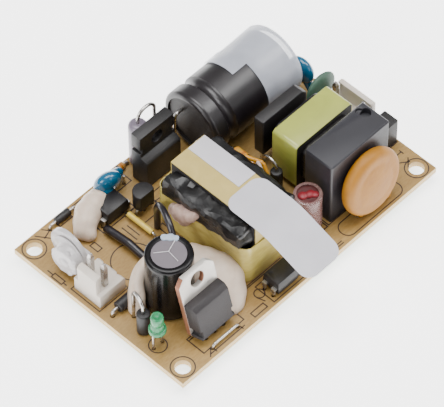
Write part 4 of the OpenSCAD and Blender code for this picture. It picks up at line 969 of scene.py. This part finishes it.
# The black tape: a heap over both winding sides, wider than the winding by WRAP_PAST at each
# end and open below it by WRAP_RISE, with its top sloped away on the choke side.
wrap_low, wrap_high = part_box("winding_wrap")
WRAP_PAST = 3.1
WRAP_RISE = 1.2
WRAP_SLOPE = 3.4
wrap_low.z += WRAP_RISE * MM
wrap_size = wrap_high - wrap_low + Vector((0, 2 * WRAP_PAST * MM, -0.2 * MM))
wrap = start(
    bpy.ops.mesh.primitive_cube_add, size=1, scale=tuple(wrap_size),
    location=(wrap_low + wrap_high) / 2 - Vector((0, 0, 0.1 * MM)),
)
bpy.ops.object.mode_set(mode="EDIT")
wrap_edge = (wrap_low + wrap_high) / 2 + wrap_size / 2 - Vector((0.1, 0, 0.4)) * MM
choose(wrap, "EDGE", lambda p: p.x > wrap_edge.x and p.z > wrap_edge.z)
bpy.ops.mesh.bevel(offset=WRAP_SLOPE * MM, segments=2, affect="EDGES")
bpy.ops.mesh.select_all(action="SELECT")
bpy.ops.mesh.bevel(offset=0.9 * MM, segments=2, affect="EDGES")
end_edit()
modify(wrap, "REMESH", mode="VOXEL", voxel_size=0.5 * MM)
crumpled(wrap, "deep_creases", 3.8, 1.3)
crumpled(wrap, "slack_of_the_wrap", 8.0, 1.4, basis="BLENDER_ORIGINAL")
modify(wrap, "DECIMATE", ratio=0.16)
core_low, core_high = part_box("core_tape")
yoke = start(
    bpy.ops.mesh.primitive_cube_add, size=1,
    location=Vector(((core_low.x + core_high.x) / 2, (core_low.y + core_high.y) / 2, wrap_high.z)),
    scale=(core_high.x - core_low.x + 0.1 * MM, core_high.y - core_low.y, 5.4 * MM),
)
cut(wrap, yoke)
pick(wrap)
smooth_below(18)
complete(
    wrap, "winding_tape",
    taped("black_polyester_tape", "#050405", "#0b090a", 0.36, 3.0, 0.3, coat=0.0),
    "black_tape", "winding_wrap",
)

# The yellow jacket: a wall of tape round the lower bobbin, slightly slack. It is cut into a
# fine net before it is waved.
JACKET_RISE = 1.7
JACKET_ROUND = 2.3
JACKET_FILM = 0.2
skirt_low, skirt_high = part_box("skirt_tape")
skirt_high.z += JACKET_RISE * MM
skirt_mid = (skirt_low + skirt_high) / 2
skirt = start(
    bpy.ops.mesh.primitive_cube_add, size=1, location=skirt_mid,
    scale=tuple(skirt_high - skirt_low),
)
bpy.ops.object.mode_set(mode="EDIT")
choose(
    skirt, "EDGE",
    lambda p: abs(p.x - skirt_mid.x) > 6 * MM and abs(p.y - skirt_mid.y) > 10 * MM,
)
bpy.ops.mesh.bevel(offset=JACKET_ROUND * MM, segments=8, affect="EDGES")
choose(skirt, "FACE", lambda p: abs(p.z - skirt_mid.z) > 4.5 * MM)
bpy.ops.mesh.delete(type="FACE")
bpy.ops.mesh.select_mode(type="VERT")
for axis, count in ((2, 12), (0, 16), (1, 26)):
    for i in range(1, count):
        spot, normal = [0.0, 0.0, 0.0], [0, 0, 0]
        spot[axis] = skirt_low[axis] + (skirt_high[axis] - skirt_low[axis]) * i / count
        normal[axis] = 1
        bpy.ops.mesh.select_all(action="SELECT")
        bpy.ops.mesh.bisect(plane_co=spot, plane_no=normal)
end_edit()
crumpled(skirt, "slack_waves", 5.0, 0.5, basis="BLENDER_ORIGINAL")
modify(skirt, "SOLIDIFY", thickness=JACKET_FILM * MM, offset=-1)
smooth_below(40)
yellow_tape = taped("yellow_polyester_tape", "#9c8a42", "#d6c570", 0.22, 4.0, 0.35)
complete(skirt, "jacket_tape", yellow_tape, "yellow_tape", "skirt_tape")

# ---------------------------------------------------------------- Labels
# A blank paper label on the core, and over it a long blank flag of satin film that is stuck
# to the core by one end and hangs out over the front edge. Neither carries any print.


def label_film(name, dark, light, alpha):
    """Coated label stock: smooth and almost even, with a faint cloudiness."""
    return two_toned(name, dark, light, 6, 4.0, {"Roughness": 0.45, "Alpha": alpha})[0]


complete(
    soften("part_label", 0.03), "core_label",
    label_film("coated_label_paper", "#b9b5bb", "#cbc8cd", 1.0), "label_white", "part_label",
)

# The flag: its hanging part bends down a little at each of the first strips past the core.
flag_low, flag_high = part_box("flag_label")
flag_x = (flag_low.x + flag_high.x) / 2
flag_seat = flag_high.z
flag_root = core_low.y
FLAG_W, FLAG_ON, FLAG_HANG, FLAG_CORNER, FLAG_FILM = 11.0, 9.0, 16.2, 2.9, 0.12
STRIP = 0.6
BENDS = 9
DROOP = math.radians(-20)
flag = start(
    bpy.ops.mesh.primitive_plane_add, size=1,
    location=(flag_x, flag_root + (FLAG_ON - FLAG_HANG) / 2 * MM, flag_seat - FLAG_FILM * MM),
    scale=(FLAG_W * MM, (FLAG_ON + FLAG_HANG) * MM, 1),
)
edit_all()
bpy.ops.mesh.bevel(offset=FLAG_CORNER * MM, segments=10, affect="VERTICES")
for i in range(1, 42):
    bpy.ops.mesh.select_all(action="SELECT")
    bpy.ops.mesh.bisect(
        plane_co=(0, flag_root + (FLAG_ON - i * STRIP) * MM, 0), plane_no=(0, 1, 0)
    )
for i in range(-4, 5):
    bpy.ops.mesh.select_all(action="SELECT")
    bpy.ops.mesh.bisect(plane_co=(flag_x + i * 1.2 * MM, 0, 0), plane_no=(1, 0, 0))
for i in range(BENDS):
    hinge = Vector((flag_x, flag_root - i * STRIP * MM, 0))
    mesh = bmesh.from_edit_mesh(flag.data)
    row = [v.co for v in mesh.verts if abs(v.co.y - hinge.y) < 0.31 * MM]
    hinge.z = sum(p.z for p in row) / len(row)
    choose(flag, "VERT", lambda p: p.y < hinge.y - 0.01 * MM)
    bpy.ops.transform.rotate(value=DROOP / BENDS, orient_axis="X", center_override=hinge)
end_edit()
modify(flag, "SOLIDIFY", thickness=FLAG_FILM * MM, offset=0)
smooth_below(40)
complete(
    flag, "flag_film", label_film("satin_label_film", "#bcbac1", "#cfcdd3", 0.93),
    "label_white", "flag_label",
)

# ---------------------------------------------------------------- Drum inductor
# Enamelled wire wound on a ferrite drum, its end held with a red dab, inside a clear sleeve
# that has shrunk tight and rolled a rim at the top.
drum_x, drum_y, drum_h0, drum_h1 = stands("drum_inductor_sleeve")
TURN_PITCH = 0.62
turns = []
first_turn = start(
    bpy.ops.mesh.primitive_torus_add, major_segments=40, minor_segments=8, major_radius=2.55 * MM,
    minor_radius=0.32 * MM, location=at(drum_x, drum_y, drum_h0 + 1.9),
)
for i in range(12):
    copy = first_turn.copy()
    copy.data = first_turn.data.copy()
    copy.data.transform(Matrix.Translation((0, 0, i * TURN_PITCH * MM)))
    bpy.context.scene.collection.objects.link(copy)
    turns.append(copy)
bpy.data.objects.remove(first_turn)
turns.append(filled(turned(drum_x, drum_y, [
    (drum_h0, 0.05), (drum_h0, 2.9), (drum_h0 + 1.6, 2.9), (drum_h0 + 1.6, 2.3),
    (drum_h1 - 2, 2.3), (drum_h1 - 2, 2.85), (drum_h1 - 0.7, 2.85), (drum_h1 - 0.5, 2.7),
    (drum_h1 - 0.5, 0.05),
], steps=40)))
coil = unite(turns)
smooth_below(40)
complete(
    coil, "drum_winding", dipped("red_enamelled_wire", "#35100f", "#5a1d1a", 0.3, 0.4, 1.2, 0.2),
    "red_varnish", "drum_inductor",
)
dab = melt([
    ball(drum_x - 0.9, drum_y + 0.6, drum_h1 - 0.5, 1.1, (1, 1, 0.5)),
    ball(drum_x + 0.4, drum_y - 0.2, drum_h1 - 0.4, 1.2, (1, 0.8, 0.5)),
    ball(drum_x + 1.2, drum_y - 1.0, drum_h1 - 0.5, 0.9, (1, 1, 0.5)),
], 0.14, 4)
complete(
    dab, "drum_lacquer",
    dipped("red_fixing_lacquer", "#6a0814", "#8f1624", 0.45, 0.0, 0.8, 0.3), "red_varnish",
)
rim = turned(drum_x, drum_y, [
    (drum_h0, 3.1), (drum_h0 + 2, 3.15), (drum_h1 - 3, 3.1), (drum_h1 - 0.6, 3.15),
    (drum_h1 - 0.1, 3.1), (drum_h1, 2.85), (drum_h1 - 0.05, 2.45),
], steps=48)
modify(closed(rim), "SOLIDIFY", thickness=0.12 * MM, offset=0)
smooth_below(50)

# Clear sleeve: shrunk vinyl, glossy, its tint taken from the red wire that shows through.
clear, *_ = two_toned(
    "clear_shrunk_sleeve", "#7c5a56", "#a88680", 1.5, surface={"Roughness": 0.15, "Alpha": 0.4}
)
complete(rim, "drum_sleeve", clear, "shrink_clear", "drum_inductor_sleeve")

# ---------------------------------------------------------------- Common mode choke
# Two windings on a ferrite frame, covered in black tape, with one wide lime band of tape
# round the middle. Its bobbin stands on four pins.
complete(
    soften("choke_tape", 0.15), "choke_band",
    taped("lime_polyester_tape", "#8e9440", "#abb152", 0.28, 5.0, 0.12), "lime_tape", "choke_tape",
)
dress(ferrite, "choke_core")
dress(phenolic, "choke_bobbin")
complete(
    soften("choke_winding", 0.6, 3), "choke_covers",
    taped("black_cover_tape", "#0b090a", "#191516", 0.3, 2.0, 0.4),
    "enamel_copper", "choke_winding",
)

# ---------------------------------------------------------------- Winding ends
# Two ends of the enamelled winding wire come out on the choke side, each in its own extruded
# sleeve, one orange and one a pinkish white. They are tucked under the black tape by hand.
first_end = melt([
    limb((4.5, 2.2, 11.2), (6.6, 0.6, 11.2), 0.55),
    limb((6.6, 0.6, 11.2), (8.3, -2.6, 10.4), 0.55),
    limb((8.3, -2.6, 10.4), (8.0, -4.2, 8.0), 0.55),
], 0.14, 8)
complete(
    first_end, "orange_winding_end",
    extruded_sleeve("orange_sleeving", "#a86f10", "#c98e24", 0.3), "yellow_sleeve",
)
second_end = melt([
    limb((5.2, -4.6, 11.0), (6.6, -3.4, 11.6), 0.45),
    limb((6.6, -3.4, 11.6), (7.2, -2.1, 11.2), 0.45),
    limb((6.4, -3.6, 11.6), (5.9, -5.6, 10.6), 0.45),
    limb((5.9, -5.6, 10.6), (4.5, -8.1, 9.4), 0.45),
], 0.14, 8)
complete(
    second_end, "white_winding_end",
    extruded_sleeve("white_sleeving", "#b09c96", "#cdbcb6", 0.4), "silicone",
)

# ---------------------------------------------------------------- Box capacitor
# A film capacitor potted in a moulded grey box with rounded edges, standing on its two leads.
# The round hollow in its top is left by the mould's gate.
case = soften("box_capacitor", 0.3, 3)
drill = start(
    bpy.ops.mesh.primitive_cylinder_add, vertices=32, radius=1.25 * MM, depth=3 * MM,
    location=at(28.5, -13.4, 18.5),
)
cut(case, drill)
complete(
    case, "box_capacitor_case",
    moulding("moulded_grey_case", "#1d1c21", "#28272d", 0.42, 0.5, 0.15),
    "grey_case", "box_capacitor",
)

# ---------------------------------------------------------------- Silicone
# Cream sealant squeezed on by hand to hold the tall parts: one heap between the blue disc and
# the trimmer, one that hugs the upright capacitor, and a wipe on the transformer's side.


def squeezed(balls, voxel, rounds):
    """A bead of sealant, run together from balls of it."""
    return melt([ball(*b) for b in balls], voxel, rounds)


heap = squeezed([
    (-18.6, 20.4, 2.6, 2.4), (-20.4, 19.9, 2.6, 2.8), (-22.6, 19.2, 2.4, 3.1),
    (-24.6, 18.1, 2.0, 2.8), (-26.2, 17.2, 1.6, 2.2), (-25.8, 15.8, 1.2, 1.8),
], 0.3, 22)

# The collar round the capacitor: a wall that drops from WALL_CREST as it runs round, and
# leans away from the can towards its foot.
WALL_CREST = 7.6
WALL_REACH = 6.9
WALL_STEPS = 18
wall = []
for i in range(WALL_STEPS + 1):
    turn = math.radians(18 + i * 7.4)
    crest = WALL_CREST * (1 - 0.3 * (i / WALL_STEPS) ** 2)
    for h in (0.8, crest * 0.4, crest * 0.75, crest):
        reach = WALL_REACH + 0.5 * (1 - h / crest)
        wall.append((
            can_x + reach * math.cos(turn), can_y + reach * math.sin(turn), h,
            1.7 + 0.3 * (1 - h / crest),
        ))
collar = squeezed(wall + [
    (-16.4, -12.6, 2.2, 6.2), (-17.0, -9.4, 3.0, 5.4), (-17.8, -6.6, 3.6, 4.6),
    (-16.8, -15.2, 1.2, 5.0), (-17.6, -17.4, 0.4, 3.6),
], 0.34, 26)
wipe = squeezed([
    (-12.9, 1.4, 9.8, 1.9), (-12.7, -0.2, 10.6, 2.1), (-12.7, -1.8, 11.6, 1.8),
    (-12.6, 3.0, 9.0, 1.5), (-12.8, -0.2, 8.8, 1.7), (-12.3, -3.0, 12.6, 1.3),
    (-12.7, 1.8, 8.0, 1.4),
], 0.22, 10)
silicone = unite([heap, collar])
above = start(
    bpy.ops.mesh.primitive_cube_add, size=1, location=at(0, 0, 15.01),
    scale=(90 * MM, 60 * MM, 30 * MM),
)
cut(silicone, above, "INTERSECT")

# Silicone: cured in air to a satin skin that lets a little light in, and uneven where the
# nozzle pulled it.
cream, tree, shader, _, pull = two_toned(
    "cured_silicone_sealant", "#c2ad99", "#dccbba", 2.4, surface={
        "Roughness": 0.4, "Subsurface Weight": 0.25, "Subsurface Radius": (0.0015, 0.001, 0.0008),
    },
)
pull.inputs["Distortion"].default_value = 0.6
skin = add_node(
    tree, "Bump", {"Height": pull.outputs["Fac"], "Strength": 0.3, "Distance": 0.3 * MM}
)
tree.links.new(skin.outputs["Normal"], shader.inputs["Normal"])
complete(silicone, "silicone_sealant", cream, "silicone", "silicone_beads")

# The wipe on the transformer's side: glue stained pinkish brown by the varnish under it.
complete(
    wipe, "winding_sealant",
    dipped("stained_silicone", "#9a7c72", "#c4a798", 0.4, 0.0, 1.4, 0.4), "silicone",
)

# A bluish white dab on the back rim of the upright capacitor: a painted highlight on the rim.
rim_glint_dab = melt([
    ball(can_x + 3.2, can_y + 2.7, can_top + 0.05, 1.0, (1, 1, 0.45)),
    ball(can_x + 2.3, can_y + 3.6, can_top + 0.05, 0.9, (1, 1, 0.45)),
    ball(can_x + 3.9, can_y + 1.7, can_top - 0.05, 0.8, (1, 1, 0.5)),
], 0.14, 4)
complete(
    rim_glint_dab, "painted_rim_highlight",
    # The dab's two bluish white tones are the painted highlight.
    dipped("rim_painted_highlight_finish", "#8f9db0", "#b3bfce", 0.45, 0.0, 0.8, 0.4), "silicone",
)
